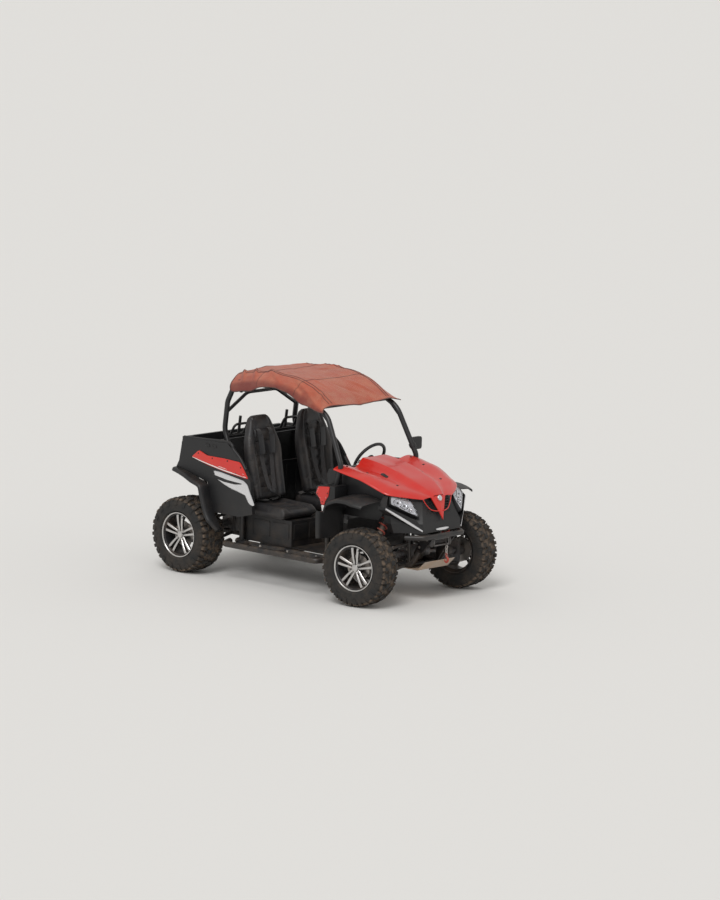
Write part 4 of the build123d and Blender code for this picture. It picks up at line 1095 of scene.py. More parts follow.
cloth, cloth_rows = canopy_cloth()
tape = make_piece("canopy_tape", edge_tape(cloth_rows), canopy_binding, smooth=60)
welts = make_piece("canopy_seams", seam_welts(), canopy_binding, smooth=60)

# %% [markdown]
# ## What ties the canvas down
#
# Short straps of webbing go from the hem round the cage's rails, and three light bows under the cloth
# give the roof its height over the bars.

# %% Make the straps and bows
RAIL_X = 0.435
STRAP_WIDTH = 0.024


def canopy_straps():
    form = Form()
    for u in (-1, 1):
        for v in (0.12, 0.42, 0.62, 0.86):
            hem = canopy_point(u, v)
            rail = Vector((u * RAIL_X, hem.y, min(hem.z + 0.015, 1.69)))
            path = [hem, hem + Vector((-u * 0.006, 0, -0.012)), rail + Vector((u * 0.022, 0, -0.016)),
                    rail + Vector((0, 0, -0.0245)), rail + Vector((-u * 0.0235, 0, 0))]
            rows = [[p + Vector((0, s * STRAP_WIDTH / 2, 0)) for s in (-1, 1)] for p in smooth_path(path, 4)]
            back = Vector((-u * 0.001, 0, -0.0015))
            form.add(skin([[a, b, b + back, a + back] for a, b in rows]))
    return form


def canopy_bows():
    form = Form()
    for v in (0.06, 0.42, 0.66):
        path = [canopy_point(-0.66 + 1.32 * i / 40, v) - Vector((0, 0, 0.013)) for i in range(41)]
        for side, end in ((-1, path[0]), (1, path[-1])):
            foot = Vector((side * 0.432, end.y, end.z - 0.045))
            path = [foot] + path if side < 0 else path + [foot]
        form.add(pipe(path, 0.007, 8))
    return form


make_piece("canopy_straps", canopy_straps(), webbing)
make_piece("canopy_bows", canopy_bows(), black_paint)

# %% [markdown]
# ## The hood
#
# The hood is one moulded sheet with a raised middle, a valley each side of it, a broad crown over
# each wheel and edges that roll down. A table of cross-sections gives its height from the middle
# to the edge. Curves along the length join them, and the ridges stay crisp because the columns
# there lie close together.

# %% Shape the hood
# columns: y, half width, then z at the shares of the half width below
HOOD_SHARES = [0.0, 0.14, 0.27, 0.315, 0.36, 0.43, 0.50, 0.60, 0.72, 0.82, 0.90, 0.955, 0.985, 1.0]
HOOD_ROWS = [
    (-0.550, 0.519, 1.134, 1.137, 1.136, 1.126, 1.106, 1.086, 1.083, 1.094, 1.106, 1.111, 1.107, 1.100, 1.094, 1.084),
    (-0.640, 0.514, 1.124, 1.128, 1.127, 1.117, 1.095, 1.076, 1.072, 1.082, 1.093, 1.097, 1.092, 1.084, 1.078, 1.066),
    (-0.740, 0.506, 1.108, 1.112, 1.111, 1.101, 1.082, 1.064, 1.059, 1.067, 1.076, 1.079, 1.073, 1.065, 1.059, 1.046),
    (-0.835, 0.498, 1.088, 1.092, 1.090, 1.080, 1.066, 1.053, 1.049, 1.054, 1.060, 1.062, 1.056, 1.047, 1.041, 1.028),
    (-0.925, 0.483, 1.062, 1.065, 1.064, 1.057, 1.046, 1.034, 1.029, 1.031, 1.034, 1.033, 1.025, 1.016, 1.009, 0.996),
    (-1.010, 0.462, 1.036, 1.037, 1.036, 1.031, 1.022, 1.012, 1.007, 1.005, 1.004, 1.000, 0.990, 0.980, 0.973, 0.960),
    (-1.097, 0.438, 1.009, 1.009, 1.006, 1.002, 0.996, 0.987, 0.982, 0.979, 0.975, 0.970, 0.957, 0.947, 0.940, 0.930),
    (-1.165, 0.362, 0.980, 0.979, 0.976, 0.972, 0.967, 0.962, 0.957, 0.953, 0.948, 0.942, 0.933, 0.927, 0.922, 0.914),
    (-1.225, 0.270, 0.949, 0.948, 0.945, 0.943, 0.940, 0.936, 0.932, 0.928, 0.923, 0.918, 0.912, 0.908, 0.905, 0.899),
    (-1.275, 0.175, 0.914, 0.913, 0.911, 0.910, 0.908, 0.906, 0.904, 0.901, 0.898, 0.895, 0.892, 0.890, 0.888, 0.884),
]

# %% Read a point of the hood
HOOD_STEPS = 72
# sharpens the raised middle: what each column gains in height
HOOD_LIFT = [0.0095, 0.0095, 0.011, 0.003, -0.006, -0.008, -0.006, -0.001, 0.003, 0.0045, 0.0015, 0, 0, 0]


def hood_point(share, y):
    """A point of the hood's top face: share from -1 to 1 of its half width."""
    half = curve_value([(-row[0], row[1]) for row in HOOD_ROWS], -y)
    # the raised parts run out towards the front edge, where the hood meets the red V, and the valleys go on
    fade = min(1.0, (y - HOOD_ROWS[-1][0]) / 0.22)
    heights = [(s, curve_value([(-row[0], row[2 + k]) for row in HOOD_ROWS], -y)
                + (HOOD_LIFT[k] * fade if HOOD_LIFT[k] > 0 else HOOD_LIFT[k]))
               for k, s in enumerate(HOOD_SHARES)]
    place = abs(share)
    # straight between the columns by the middle, so that the ridges stay crisp
    for (a, za), (b, zb) in zip(heights, heights[1:]):
        if place <= b and b < 0.45:
            return Vector((share * half, y, za + (zb - za) * (place - a) / (b - a)))
    return Vector((share * half, y, curve_value(heights, place)))


# %% Make the hood
def hood_form():
    shares = []
    for a, b in zip(HOOD_SHARES, HOOD_SHARES[1:]):
        shares += [a, (a + b) / 2]
    shares = [-s for s in shares[:0:-1]] + shares + [1.0]
    shares.insert(0, -1.0)
    back, front = HOOD_ROWS[0][0], HOOD_ROWS[-1][0]
    rows = []
    for j in range(HOOD_STEPS + 1):
        y = back + (front - back) * j / HOOD_STEPS
        row = []
        for s in shares:
            point = hood_point(s, y)
            # the rear edge bows back between the crowns and the front edge comes to a soft point
            point.y += (0.016 * (1 - s * s) * (1 - j / HOOD_STEPS) ** 6
                        - 0.012 * (1 - abs(s)) * (j / HOOD_STEPS) ** 8)
            row.append(point)
        rows.append(row)
    return Form().add(skin(rows, around=False))


hood = make_piece("hood_skin", hood_form(), red_gloss, replaces=["hood"], smooth=34)
thicken(hood, 0.005)
edges = hood.modifiers.new("edges", "BEVEL")
edges.width = 0.0016
edges.segments = 2
edges.angle_limit = radians(50)
settle(hood)
hood.data.set_sharp_from_angle(angle=radians(34))
print("hood faces", len(hood.data.polygons))

# %% [markdown]
# ## Details on the hood
#
# Two dark air slots lie in the valleys, eight quarter-turn fasteners hold the sheet, and a plain pale
# roundel sits at the nose. The red V hangs from the hood's front edge and parts the grille.

# %% Add the slots, fasteners, V and roundel
def hood_slot(share, y, length, width, lean):
    """A shallow black scoop: a raised lip round a dark floor."""
    form = Form()
    middle = hood_point(share, y)
    outline = []
    for a, b in ((-0.5, -0.2), (-0.35, -0.5), (0.4, -0.42), (0.5, 0.1), (0.3, 0.5), (-0.4, 0.42)):
        px = middle.x + b * width + lean * a * length
        py = y + a * length
        half = curve_value([(-row[0], row[1]) for row in HOOD_ROWS], -py)
        outline.append(hood_point(px / half, py))
    rings = [[p + Vector((0, 0, -0.004)) for p in outline], [p + Vector((0, 0, 0.0035)) for p in outline]]
    centre = sum(outline, Vector()) / len(outline)
    rings.append([centre + (p - centre) * 0.84 + Vector((0, 0, 0.0035)) for p in outline])
    rings.append([centre + (p - centre) * 0.80 + Vector((0, 0, 0.0008)) for p in outline])
    form.add(skin(rings))
    return form


for label, side in SIDES.items():
    make_piece(f"hood_slot_{label}", hood_slot(side * 0.435, -0.86, 0.088, 0.036, side * -0.10), black_plastic,
               bevel=0.0008)

fasteners = Form()
for share, y in ((0.70, -0.79), (0.60, -1.06), (0.78, -0.60), (0.10, -1.235)):
    for side in (-1, 1):
        spot = hood_point(side * share, y)
        rise = (hood_point(side * share, y - 0.01) - hood_point(side * share, y + 0.01)).cross(
            hood_point(side * share + 0.02, y) - hood_point(side * share - 0.02, y)).normalized()
        if rise.z < 0:
            rise = -rise
        fasteners.add(lathe([(-0.002, 0.0), (-0.002, 0.0105), (0.002, 0.0105), (0.0032, 0.008), (0.0022, 0.006),
                             (0.0022, 0.0)], 20, closed=False), 0, aim(spot, rise))
make_piece("hood_fasteners", fasteners, black_plastic)

# %% Hang the red V and set the roundel
# one side's corners: outer top, middle top, tip and waist
V_CORNERS = [(0.088, -1.2790, 0.8975), (0.0, -1.2850, 0.9090), (0.0, -1.3425, 0.7060), (0.014, -1.332, 0.745)]


def nose_v_form():
    form = Form()
    for side in (1, -1):
        corners = [Vector((side * x, y - 0.001, z)) for x, y, z in V_CORNERS]
        if side < 0:
            corners.reverse()
        form.add(plate(corners, 0.009))
    # a slim red rib frames the opening on each side
    for side in (1, -1):
        rib = [(side * x, y, z) for x, y, z in (
            (0.176, -1.268, 0.885), (0.150, -1.283, 0.840), (0.112, -1.300, 0.800), (0.070, -1.316, 0.786),
            (0.022, -1.328, 0.782))]
        form.add(pipe(smooth_path(rib, 5), 0.0042, 8))
    return form


make_piece("nose_v", nose_v_form(), red_gloss, bevel=0.0025, rounds=3, bevel_from=25)
nose_out = Vector((0, -0.93, 0.36))
roundel = Form().add(lathe([(-0.006, 0.0), (-0.006, 0.024), (0.004, 0.024), (0.006, 0.022), (0.0045, 0.019),
                            (0.0055, 0.010), (0.006, 0.0)], 40, closed=False), 0,
                     aim((0, -1.2975, 0.887), nose_out))
make_piece("nose_roundel", roundel, silver)

# %% [markdown]
# ## The black nose
#
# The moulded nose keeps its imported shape. Behind its slots lies a mesh of thin wire, and behind the
# mesh the radiator. Wires laid both ways on a slant make the mesh.

# %% Dress the nose and lay the mesh
dress("nose_fascia", black_plastic, 30)


def grille_mesh():
    form = Form()
    low, high, reach = 0.765, 0.872, 0.165
    step = 0.016
    count = int(2 * reach / step) + 8
    for lean in (-1, 1):
        for i in range(-4, count):
            x0 = -reach + i * step
            start, end = Vector((x0, 0, low)), Vector((x0 + lean * (high - low), 0, high))
            if max(abs(start.x), abs(end.x)) > reach:
                continue
            path = [Vector((p.x, -1.262 - (0.872 - p.z) * 0.40, p.z)) for p in (start, (start + end) / 2, end)]
            form.add(pipe(path, 0.0011, 4))
    return form


make_piece("grille_mesh", grille_mesh(), black_plastic)

# %% Stand the radiator behind the mesh
radiator = Form().add(block((-0.185, -1.200, 0.690), (0.185, -1.168, 0.872)))
for i in range(22):
    z = 0.697 + i * 0.008
    radiator.add(block((-0.178, -1.2035, z), (0.178, -1.1990, z + 0.0032)))
make_piece("radiator", radiator, dark_cast, bevel=0.0008, bevel_from=60)

# %% [markdown]
# ## Lamps
#
# Each lamp is a long pane that points in and down and is drawn back over the wing. Through the clear
# lens one sees a satin reflector, three bowls and a light strip. So the lamp is built in that order
# from the back: reflector, bowls, strip, frame, and the lens as a thin bowed shell.

# %% Build the lamps
# from the corner by the hood's edge, round by the nose to the corner over the wing
LAMP_OUTLINE = [(0.424, -1.109, 0.917), (0.286, -1.163, 0.909), (0.247, -1.217, 0.858), (0.258, -1.309, 0.739),
                (0.370, -1.220, 0.801), (0.460, -1.142, 0.858)]
LAMP_OUT = Vector((0.264, -0.753, 0.602)).normalized()


def lamp_ring(side, shrink, lift, cut=0.16):
    """The lamp's outline drawn in towards its middle, lifted, and with each corner rounded."""
    corners = [Vector((side * x, y, z)) for x, y, z in LAMP_OUTLINE]
    out = Vector((side * LAMP_OUT.x, LAMP_OUT.y, LAMP_OUT.z))
    middle = sum(corners, Vector()) / len(corners)
    pulled = [middle + (c - middle) * shrink for c in corners]
    ring = []
    for i, corner in enumerate(pulled):
        before, after = pulled[i - 1], pulled[(i + 1) % len(pulled)]
        start, end = corner.lerp(before, cut), corner.lerp(after, cut)
        for k in range(5):
            t = k / 4
            ring.append(start * (1 - t) ** 2 + corner * 2 * t * (1 - t) + end * t * t + out * lift)
    return ring


def lamp_forms(side):
    out = Vector((side * LAMP_OUT.x, LAMP_OUT.y, LAMP_OUT.z))
    frame_form = Form().add(skin([lamp_ring(side, *given) for given in (
        (1.0, -0.026), (1.0, 0.008), (0.975, 0.0125), (0.925, 0.0125), (0.905, 0.010), (0.900, 0.0012))]))
    # a thin shell: its inner face from the middle out to the rim, then its outer face back
    bow = [(0.25, 0.0165), (0.55, 0.0160), (0.80, 0.0140), (0.905, 0.0115)]
    lens_form = Form().add(skin([lamp_ring(side, share, rise) for share, rise in
                                 [(s, rise - 0.0018) for s, rise in bow] + bow[::-1]]))
    bowls = Form().add(skin([lamp_ring(side, *given) for given in ((0.91, 0.0008), (0.91, 0.0022), (0.5, 0.0034))]))
    corners = [Vector((side * x, y, z)) for x, y, z in LAMP_OUTLINE]
    start, end = (corners[0] + corners[5]) / 2, corners[3]
    for share, lean, radius in ((0.20, 0.30, 0.032), (0.43, 0.42, 0.027), (0.66, 0.36, 0.019)):
        spot = start.lerp(end, share).lerp((corners[1] + corners[2]) / 2, lean * 0.55)
        bowls.add(lathe([(0.0030, 0.0), (0.0034, radius * 0.5), (0.0062, radius * 0.88), (0.0098, radius),
                         (0.0094, radius * 1.05), (0.0022, radius * 1.08)], 28, closed=False), 0, aim(spot, out))
        bowls.add(lathe([(0.0028, 0.0), (0.0028, radius * 0.30), (0.0085, radius * 0.26), (0.0095, 0.0)], 20,
                        closed=False), 1, aim(spot, out))
        bowls.add(lathe([(0.0022, radius * 1.10), (0.0050, radius * 1.14), (0.0050, radius * 1.20),
                         (0.0022, radius * 1.24)], 28), 1, aim(spot, out))
    middle = sum(corners, Vector()) / len(corners)
    strip = [middle + (c - middle) * 0.80 + out * 0.0065
             for c in (corners[0].lerp(corners[5], 0.7), corners[4], corners[3])]
    bowls.add(pipe(smooth_path(strip, 8), 0.0042, 8), 0)
    return frame_form, lens_form, bowls


# %% Put the lamps on
for label, side in SIDES.items():
    frame_form, lens_form, bowls = lamp_forms(side)
    make_piece(f"lamp_frame_{label}", frame_form, black_plastic, smooth=30)
    make_piece(f"lamp_bowls_{label}", bowls, [chrome, dark_cast], smooth=50)
    lens = make_piece(f"lamp_lens_{label}", lens_form, lamp_lens, replaces=["headlights"],
                      smooth=60)
print("lamp lens faces", len(lens.data.polygons))

# %% [markdown]
# ## Front wings
#
# Each wing is an arch over the wheel that starts flat on the hood's side, turns over and runs down
# behind the wheel. Its free edge has a rolled lip, a flange folds down at its root, and a wall
# closes the gap to the hood.

# %% Shape the front wings
FRONT_Y, REAR_Y, HOOP_Y = front_axle_y, rear_axle_y, 0.770
# y behind the front axle's point, z
WING_ARCH = [(-0.0690, 0.869), (-0.030, 0.878), (0.020, 0.886), (0.090, 0.898), (0.165, 0.899), (0.230, 0.890),
             (0.290, 0.868), (0.330, 0.846), (0.358, 0.812), (0.373, 0.765), (0.383, 0.700), (0.389, 0.610),
             (0.392, 0.520)]
WING_IN, WING_OUT = 0.428, 0.734


def cowl_outline(lead=0.0):
    """The side plate ahead of the doorway, as (y, z) points from the front axle."""
    return [(0.350 + lead, 0.960), (0.545, 0.942), (0.555, 0.862), (0.500, 0.836), (0.470, 0.690), (0.450, 0.690),
            (0.440, 0.770), (0.345 + lead, 0.838)]


def wing_form(side):
    """The arch as rows along it, each a section from the root to the rolled lip."""
    path = smooth_path([(0, FRONT_Y + y, z) for y, z in WING_ARCH], 5)
    count = len(path)
    rows = []
    for i, point in enumerate(path):
        along = heading(path, i)
        out = Vector((0, along.z, -along.y))
        if out.z < 0 and i < count // 2:
            out = -out
        out = Vector((0, -along.z, along.y)) if out.dot(Vector((0, -0.2, 1))) < 0 else out
        share = i / (count - 1)
        width = WING_OUT - WING_IN
        taper = 0.030 * (1 - min(1, share * 6)) + 0.020 * max(0, share - 0.8) * 5
        section = []
        # distance out from the root, height over the arch line
        for reach, rise in ((0.0, -0.012), (0.0, -0.002), (0.004, 0.001), (0.06, 0.0045), (0.13, 0.0040),
                            (0.20, -0.0005), (0.250, -0.006), (0.280, -0.011), (0.296, -0.019), (0.304, -0.030),
                            (0.306, -0.042)):
            x = WING_IN + reach / 0.306 * (width - taper)
            section.append(Vector((side * x, point.y, point.z)) + out * rise)
        rows.append(section)
    return Form().add(skin(rows, around=False))


# %% Put the wings on, with their walls, liners and ribs
for label, side in SIDES.items():
    wing = make_piece(f"front_wing_{label}", wing_form(side), black_plastic,
                      replaces=["front_fenders"], smooth=40)
    thicken(wing, 0.0045)
    settle(wing)
    inner = Form().add(slab([(FRONT_Y - 0.0697, 0.866), (FRONT_Y - 0.0697, 0.930), (FRONT_Y + 0.03, 1.000),
                             (FRONT_Y + 0.18, 1.055), (FRONT_Y + 0.30, 1.090), (FRONT_Y + 0.415, 1.100),
                             (FRONT_Y + 0.415, 0.840), (FRONT_Y + 0.340, 0.836), (FRONT_Y + 0.285, 0.862),
                             (FRONT_Y + 0.225, 0.886), (FRONT_Y + 0.165, 0.895), (FRONT_Y + 0.090, 0.893)],
                            side * 0.4255, side * 0.4305))
    inner.add(slab([(FRONT_Y + y, z) for y, z in cowl_outline(-0.012)], side * 0.4520, side * 0.5995))
    # the splash liner hangs from the arch's root, above the spring unit
    inner.add(slab([(FRONT_Y - 0.068, 0.866), (FRONT_Y + 0.340, 0.838), (FRONT_Y + 0.372, 0.765),
                    (FRONT_Y + 0.384, 0.700), (FRONT_Y - 0.010, 0.700), (FRONT_Y - 0.050, 0.742)],
                   side * 0.4235, side * 0.4265))
    # ribs under the arch's root carry it on the wall
    for y in (0.06, 0.20):
        inner.add(block((min(side * 0.430, side * 0.70), FRONT_Y + y - 0.002, 0.868),
                        (max(side * 0.430, side * 0.70), FRONT_Y + y + 0.002, 0.884)))
    make_piece(f"front_wing_wall_{label}", inner, black_plastic, bevel=0.0016, bevel_from=40)

# %% [markdown]
# ## Rear flares and side panels
#
# The rear flares rise in a long line from the sill, turn over the tyre and run to a point behind.
# Red panels cover the body's sides, with white stripes and a silver band beneath.

# %% Shape the rear flares
# y from the rear axle's point, z
FLARE_ARCH = [(-0.420, 0.420), (-0.376, 0.490), (-0.330, 0.560), (-0.298, 0.640), (-0.272, 0.716), (-0.256, 0.775),
              (-0.226, 0.806), (-0.133, 0.834), (-0.060, 0.857), (0.014, 0.876), (0.080, 0.888), (0.139, 0.896)]
FLARE_IN, FLARE_OUT = 0.6385, 0.744


def flare_form(side):
    path = smooth_path([(0, REAR_Y + y, z) for y, z in FLARE_ARCH], 5)
    count = len(path)
    rows = []
    for i, point in enumerate(path):
        along = heading(path, i)
        out = Vector((0, -along.z, along.y))
        share = i / (count - 1)
        reach_out = (FLARE_OUT - FLARE_IN) * (1 - 0.55 * max(0, share - 0.62) / 0.38) * min(1, 0.45 + share * 5)
        rows.append([Vector((side * (FLARE_IN + reach_out * s), point.y, point.z)) + out * rise
                     for s, rise in ((0.0, -0.006), (0.0, 0.004), (0.10, 0.006), (0.40, 0.0065), (0.70, 0.004),
                                     (0.88, -0.001), (0.96, -0.008), (1.0, -0.017), (1.0, -0.026))])
    return Form().add(skin(rows, around=False))


for label, side in SIDES.items():
    flare = make_piece(f"rear_flare_{label}", flare_form(side), black_plastic,
                       replaces=["rear_fenders"], smooth=40)
    thicken(flare, 0.005)
    settle(flare)

# %% Shape the red side panels and their stripes
def rounded_outline(points, radius, steps=4):
    """An outline whose corners are rounded by up to the given radius."""
    points = [Vector((p[0], p[1], 0)) for p in points]
    count = len(points)
    ring = []
    for i, corner in enumerate(points):
        before, after = points[i - 1] - corner, points[(i + 1) % count] - corner
        reach = min(radius, before.length * 0.45, after.length * 0.45)
        start, end = corner + before.normalized() * reach, corner + after.normalized() * reach
        for s in range(steps + 1):
            t = s / steps
            ring.append(start * (1 - t) ** 2 + corner * 2 * t * (1 - t) + end * t ** 2)
    return [(p.x, p.y) for p in ring]


def bowed_panel(side, outline, x0, bow, thickness, inset=0.012):
    """One side's panel, a little proud in its middle: rings of its outline, each drawn in and lifted."""
    middle = (sum(p[0] for p in outline) / len(outline), sum(p[1] for p in outline) / len(outline))
    rings = [[(x0, y, z) for y, z in outline], [(x0 + thickness, y, z) for y, z in outline]]
    for pull, lift in ((inset, 0.0022), (inset * 2.6, 0.0035), (inset * 5, bow)):
        ring = []
        for y, z in outline:
            dy, dz = middle[0] - y, middle[1] - z
            length = max(1e-6, sqrt(dy * dy + dz * dz))
            step = min(pull, length * 0.7)
            ring.append((x0 + thickness + lift, y + dy / length * step, z + dz / length * step))
        rings.append(ring)
    return skin([[(side * x, y, z) for x, y, z in ring] for ring in rings])


# %% Table the panels' outlines and stripes
REAR_PANEL = [(0.235, 1.010), (0.145, 1.080), (0.050, 1.044), (-0.160, 1.044), (-0.350, 1.034), (-0.395, 0.975),
              (-0.450, 0.900), (-0.300, 0.915), (-0.170, 0.930), (0.040, 0.964)]
FRONT_PANEL = [(0.392, 0.952), (0.520, 0.940), (0.545, 0.880), (0.500, 0.838), (0.484, 0.790), (0.448, 0.790),
               (0.440, 0.822), (0.405, 0.868)]
SILVER_BAND = [(0.022, 0.924), (-0.060, 0.921), (-0.340, 0.880), (-0.385, 0.850), (-0.430, 0.760), (-0.474, 0.682),
               (-0.432, 0.676), (-0.388, 0.752), (-0.193, 0.792), (-0.100, 0.822), (0.0, 0.866)]
# a stripe's middle line (y, z) and its width: on the rear panel, then on the front plate
REAR_STRIPES = [([(-0.430, 0.912), (-0.300, 0.9265), (-0.165, 0.9415), (0.040, 0.9755), (0.222, 1.011)], 0.009),
                ([(-0.405, 0.9365), (-0.270, 0.9485), (-0.150, 0.9610), (0.020, 0.9885), (0.165, 1.0175)], 0.004)]
FRONT_STRIPES = [([(0.400, 0.932), (0.450, 0.926), (0.522, 0.918)], 0.006),
                 ([(0.404, 0.917), (0.450, 0.911), (0.530, 0.901)], 0.004),
                 ([(0.420, 0.856), (0.460, 0.848), (0.502, 0.846)], 0.005)]
TIP_PLATE = [(0.450, 0.786), (0.482, 0.786), (0.474, 0.735), (0.464, 0.700), (0.454, 0.700), (0.447, 0.740)]


# %% Shape a stripe
def stripe_form(stripes, origin, x, side):
    """Thin painted bands as plates that lie on a panel."""
    form = Form()
    for line, width in stripes:
        path = smooth_path([(0, origin + y, z) for y, z in line], 5)
        count = len(path)
        rings = []
        for i, point in enumerate(path):
            along = heading(path, i)
            up = Vector((0, -along.z, along.y)) * (width / 2) * min(1.0, 0.25 + min(i, count - 1 - i) * 0.3)
            rings.append([Vector((side * (x + dx), point.y + s * up.y, point.z + s * up.z))
                          for dx, s in ((0, -1), (0.0006, -1), (0.0006, 1), (0, 1))])
        form.add(skin(rings))
    return form


# %% Put the panels on, with their stripes, screws and silver bands
# how far out the body's side stands, then the front plate and its panel's face
SIDE_X, PLATE_X, PLATE_FACE = 0.6383, 0.600, 0.6078
for label, side in SIDES.items():
    outline = rounded_outline([(HOOP_Y + y, z) for y, z in REAR_PANEL], 0.022)
    panels = Form().add(bowed_panel(side, outline, SIDE_X, 0.0040, 0.0050))
    front = rounded_outline([(FRONT_Y + y, z) for y, z in FRONT_PANEL], 0.012)
    panels.add(bowed_panel(side, front, PLATE_X, 0.0030, 0.0055, 0.007))
    make_piece(f"red_panels_{label}", panels, red_gloss, replaces=["red_side_panels"], smooth=22)
    stripes = stripe_form(REAR_STRIPES, HOOP_Y, SIDE_X + 0.0082, side)
    front_stripes = stripe_form(FRONT_STRIPES, FRONT_Y, PLATE_FACE, side)
    stripes.add((front_stripes.corners, front_stripes.faces))
    make_piece(f"panel_stripes_{label}", stripes, white_stripe)
    tip_line = rounded_outline([(FRONT_Y + y, z) for y, z in TIP_PLATE], 0.008)
    tip_form = Form().add(bowed_panel(side, tip_line, PLATE_X, 0.0020, 0.0040, 0.003))
    make_piece(f"panel_tip_{label}", tip_form, white_stripe, smooth=30)
    screws = Form()
    for y, z in ((0.150, 1.052), (-0.020, 1.028), (-0.200, 1.028), (-0.360, 0.990), (-0.300, 0.934)):
        screws.add(bolt_head(0.0055, 0.0035), 0, aim((side * (SIDE_X + 0.0075), HOOP_Y + y, z), (side, 0, 0)))
    for y, z in ((0.412, 0.895), (0.522, 0.880), (0.468, 0.815)):
        screws.add(bolt_head(0.005, 0.003), 0, aim((side * PLATE_FACE, FRONT_Y + y, z), (side, 0, 0)))
    make_piece(f"panel_screws_{label}", screws, black_plastic)
    band = rounded_outline([(HOOP_Y - 0.055 + y, z) for y, z in SILVER_BAND], 0.016)
    form = Form().add(bowed_panel(side, band, SIDE_X, 0.0036, 0.0040, 0.006))
    make_piece(f"silver_band_{label}", form, silver, replaces=["silver_trims"], smooth=24)
    slot_line = rounded_outline([(HOOP_Y - 0.055 + y, z) for y, z in
                                 ((-0.322, 0.854), (-0.151, 0.864), (0.010, 0.889), (0.032, 0.868), (-0.110, 0.842),
                                  (-0.240, 0.836), (-0.318, 0.846))], 0.006)
    dark = Form().add(skin([[(side * (SIDE_X + dx), y, z) for y, z in slot_line] for dx in (0.004, 0.0084)]))
    make_piece(f"band_slot_{label}", dark, black_plastic)

# %% [markdown]
# ## Bright strips in front
#
# A slim strip lies under each lamp, and a short bar sits in the middle of the nose. All three are
# drawn as bowed bars with soft edges.

# %% Shape the bright strips
STRIP_CORNERS = [(0.500, -1.143, 0.838), (0.239, -1.330, 0.645), (0.239, -1.329, 0.619), (0.500, -1.137, 0.812)]


def strip_form(side):
    a, b, c, d = (Vector((side * x, y, z)) for x, y, z in STRIP_CORNERS)
    out = (b - a).cross(d - a).normalized()
    if out.y > 0:
        out = -out
    rings = []
    for i in range(25):
        t = i / 24
        top, low = a.lerp(b, t), d.lerp(c, t)
        swell = sin(pi * min(max(t, 0.02), 0.98)) ** 0.35
        middle = (top + low) / 2
        half = (top - low) / 2 * (0.45 + 0.55 * swell)
        ring = []
        for s, rise in ((1.0, -0.001), (0.96, 0.003), (0.55, 0.0062), (0.0, 0.0074), (-0.55, 0.0062),
                        (-0.96, 0.003), (-1.0, -0.001)):
            ring.append(middle + half * s + out * rise)
        rings.append(ring)
    return Form().add(skin(rings))


for label, side in SIDES.items():
    make_piece(f"lamp_strip_{label}", strip_form(side), silver, smooth=44)
centre_bar = Form()
rings = []
for i in range(25):
    t = -1 + i / 12
    half = 0.0125 * (1 - 0.55 * abs(t) ** 3)
    y = -1.3350 - 0.0075 * (1 - t * t)
    rings.append([Vector((0.077 * t, y + dy, 0.632 + s * half)) for s, dy in
                  ((1.0, 0.004), (0.9, -0.002), (0.4, -0.0038), (-0.4, -0.0038), (-0.9, -0.002), (-1.0, 0.004))])
centre_bar.add(skin(rings))
make_piece("nose_bar", centre_bar, silver, smooth=44)

# %% [markdown]
# ## Load bed, shoulders and tailgate
#
# The bed is a thin-walled tray. Its sides run forward as the body's shoulders, with a rolled rail on
# top. The tailgate hangs on two pins at its lower edge, so all of its parts ride on its own body.

# %% Dress the bed and add its rails, ribs and openings
dress("cargo_bed", black_plastic, 30)
dress("tail_lamps", tail_lens, 30)
bed_back, bed_top, bed_floor = 1.160, 1.166, 0.900
bed_form = Form()
for side in (-1, 1):
    rail = [(side * 0.622, bed_back - 0.044, bed_top + 0.001), (side * 0.622, 0.900, bed_top + 0.007),
            (side * 0.622, HOOP_Y - 0.190, bed_top + 0.016), (side * 0.622, HOOP_Y - 0.250, 1.128),
            (side * 0.622, HOOP_Y - 0.330, 1.062), (side * 0.622, HOOP_Y - 0.400, 0.972)]
    bed_form.add(pipe(smooth_path(rail, 6), 0.014, 14))
    # ribs along the tray's floor
for x in (-0.44, -0.33, -0.11, 0.0, 0.11, 0.33, 0.44):
    bed_form.add(block((x - 0.012, 0.835, bed_floor + 0.0038), (x + 0.012, 1.135, bed_floor + 0.010)))
for x, y in ((-0.52, 0.85), (0.52, 0.85), (-0.52, 1.12), (0.52, 1.12)):
    bed_form.add(bolt_head(0.008, 0.005), 0, aim((x, y, bed_floor + 0.004), (0, 0, 1)))
make_piece("bed_rails", bed_form, black_plastic, bevel=0.0025, bevel_from=45)

hollows = Form()
for side in (-1, 1):
    for y in (0.735, 0.815):
        outline = rounded_outline([(y - 0.024, 1.118), (y + 0.022, 1.124), (y + 0.028, 1.150),
                                   (y - 0.018, 1.144)], 0.008)
        rings = [[(side * (0.6384 + dx), cy + (cy - y) * grow, z) for cy, z in outline]
                 for dx, grow in ((-0.0005, 0.10), (0.0035, 0.08), (0.0035, -0.06), (0.0010, -0.12))]
        hollows.add(skin(rings))
make_piece("bed_openings", hollows, black_plastic)

# %% Shape the tailgate
dress("tailgate", black_plastic, 30)
gate_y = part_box("tailgate")[1].y
gate = Form()
# the raised frame and its two ribs
gate_low, gate_high = 0.925, 1.158
for x0, x1, z0, z1 in ((-0.486, 0.486, gate_high - 0.020, gate_high), (-0.486, 0.486, gate_low, gate_low + 0.018),
                       (-0.486, -0.466, gate_low, gate_high), (0.466, 0.486, gate_low, gate_high),
                       (-0.300, -0.282, gate_low, gate_high), (0.282, 0.300, gate_low, gate_high)):
    gate.add(block((x0, gate_y - 0.0006, z0), (x1, gate_y + 0.0026, z1)))
make_piece("tailgate_frame", gate, black_plastic, body="tailgate", bevel=0.0012,
           bevel_from=40)

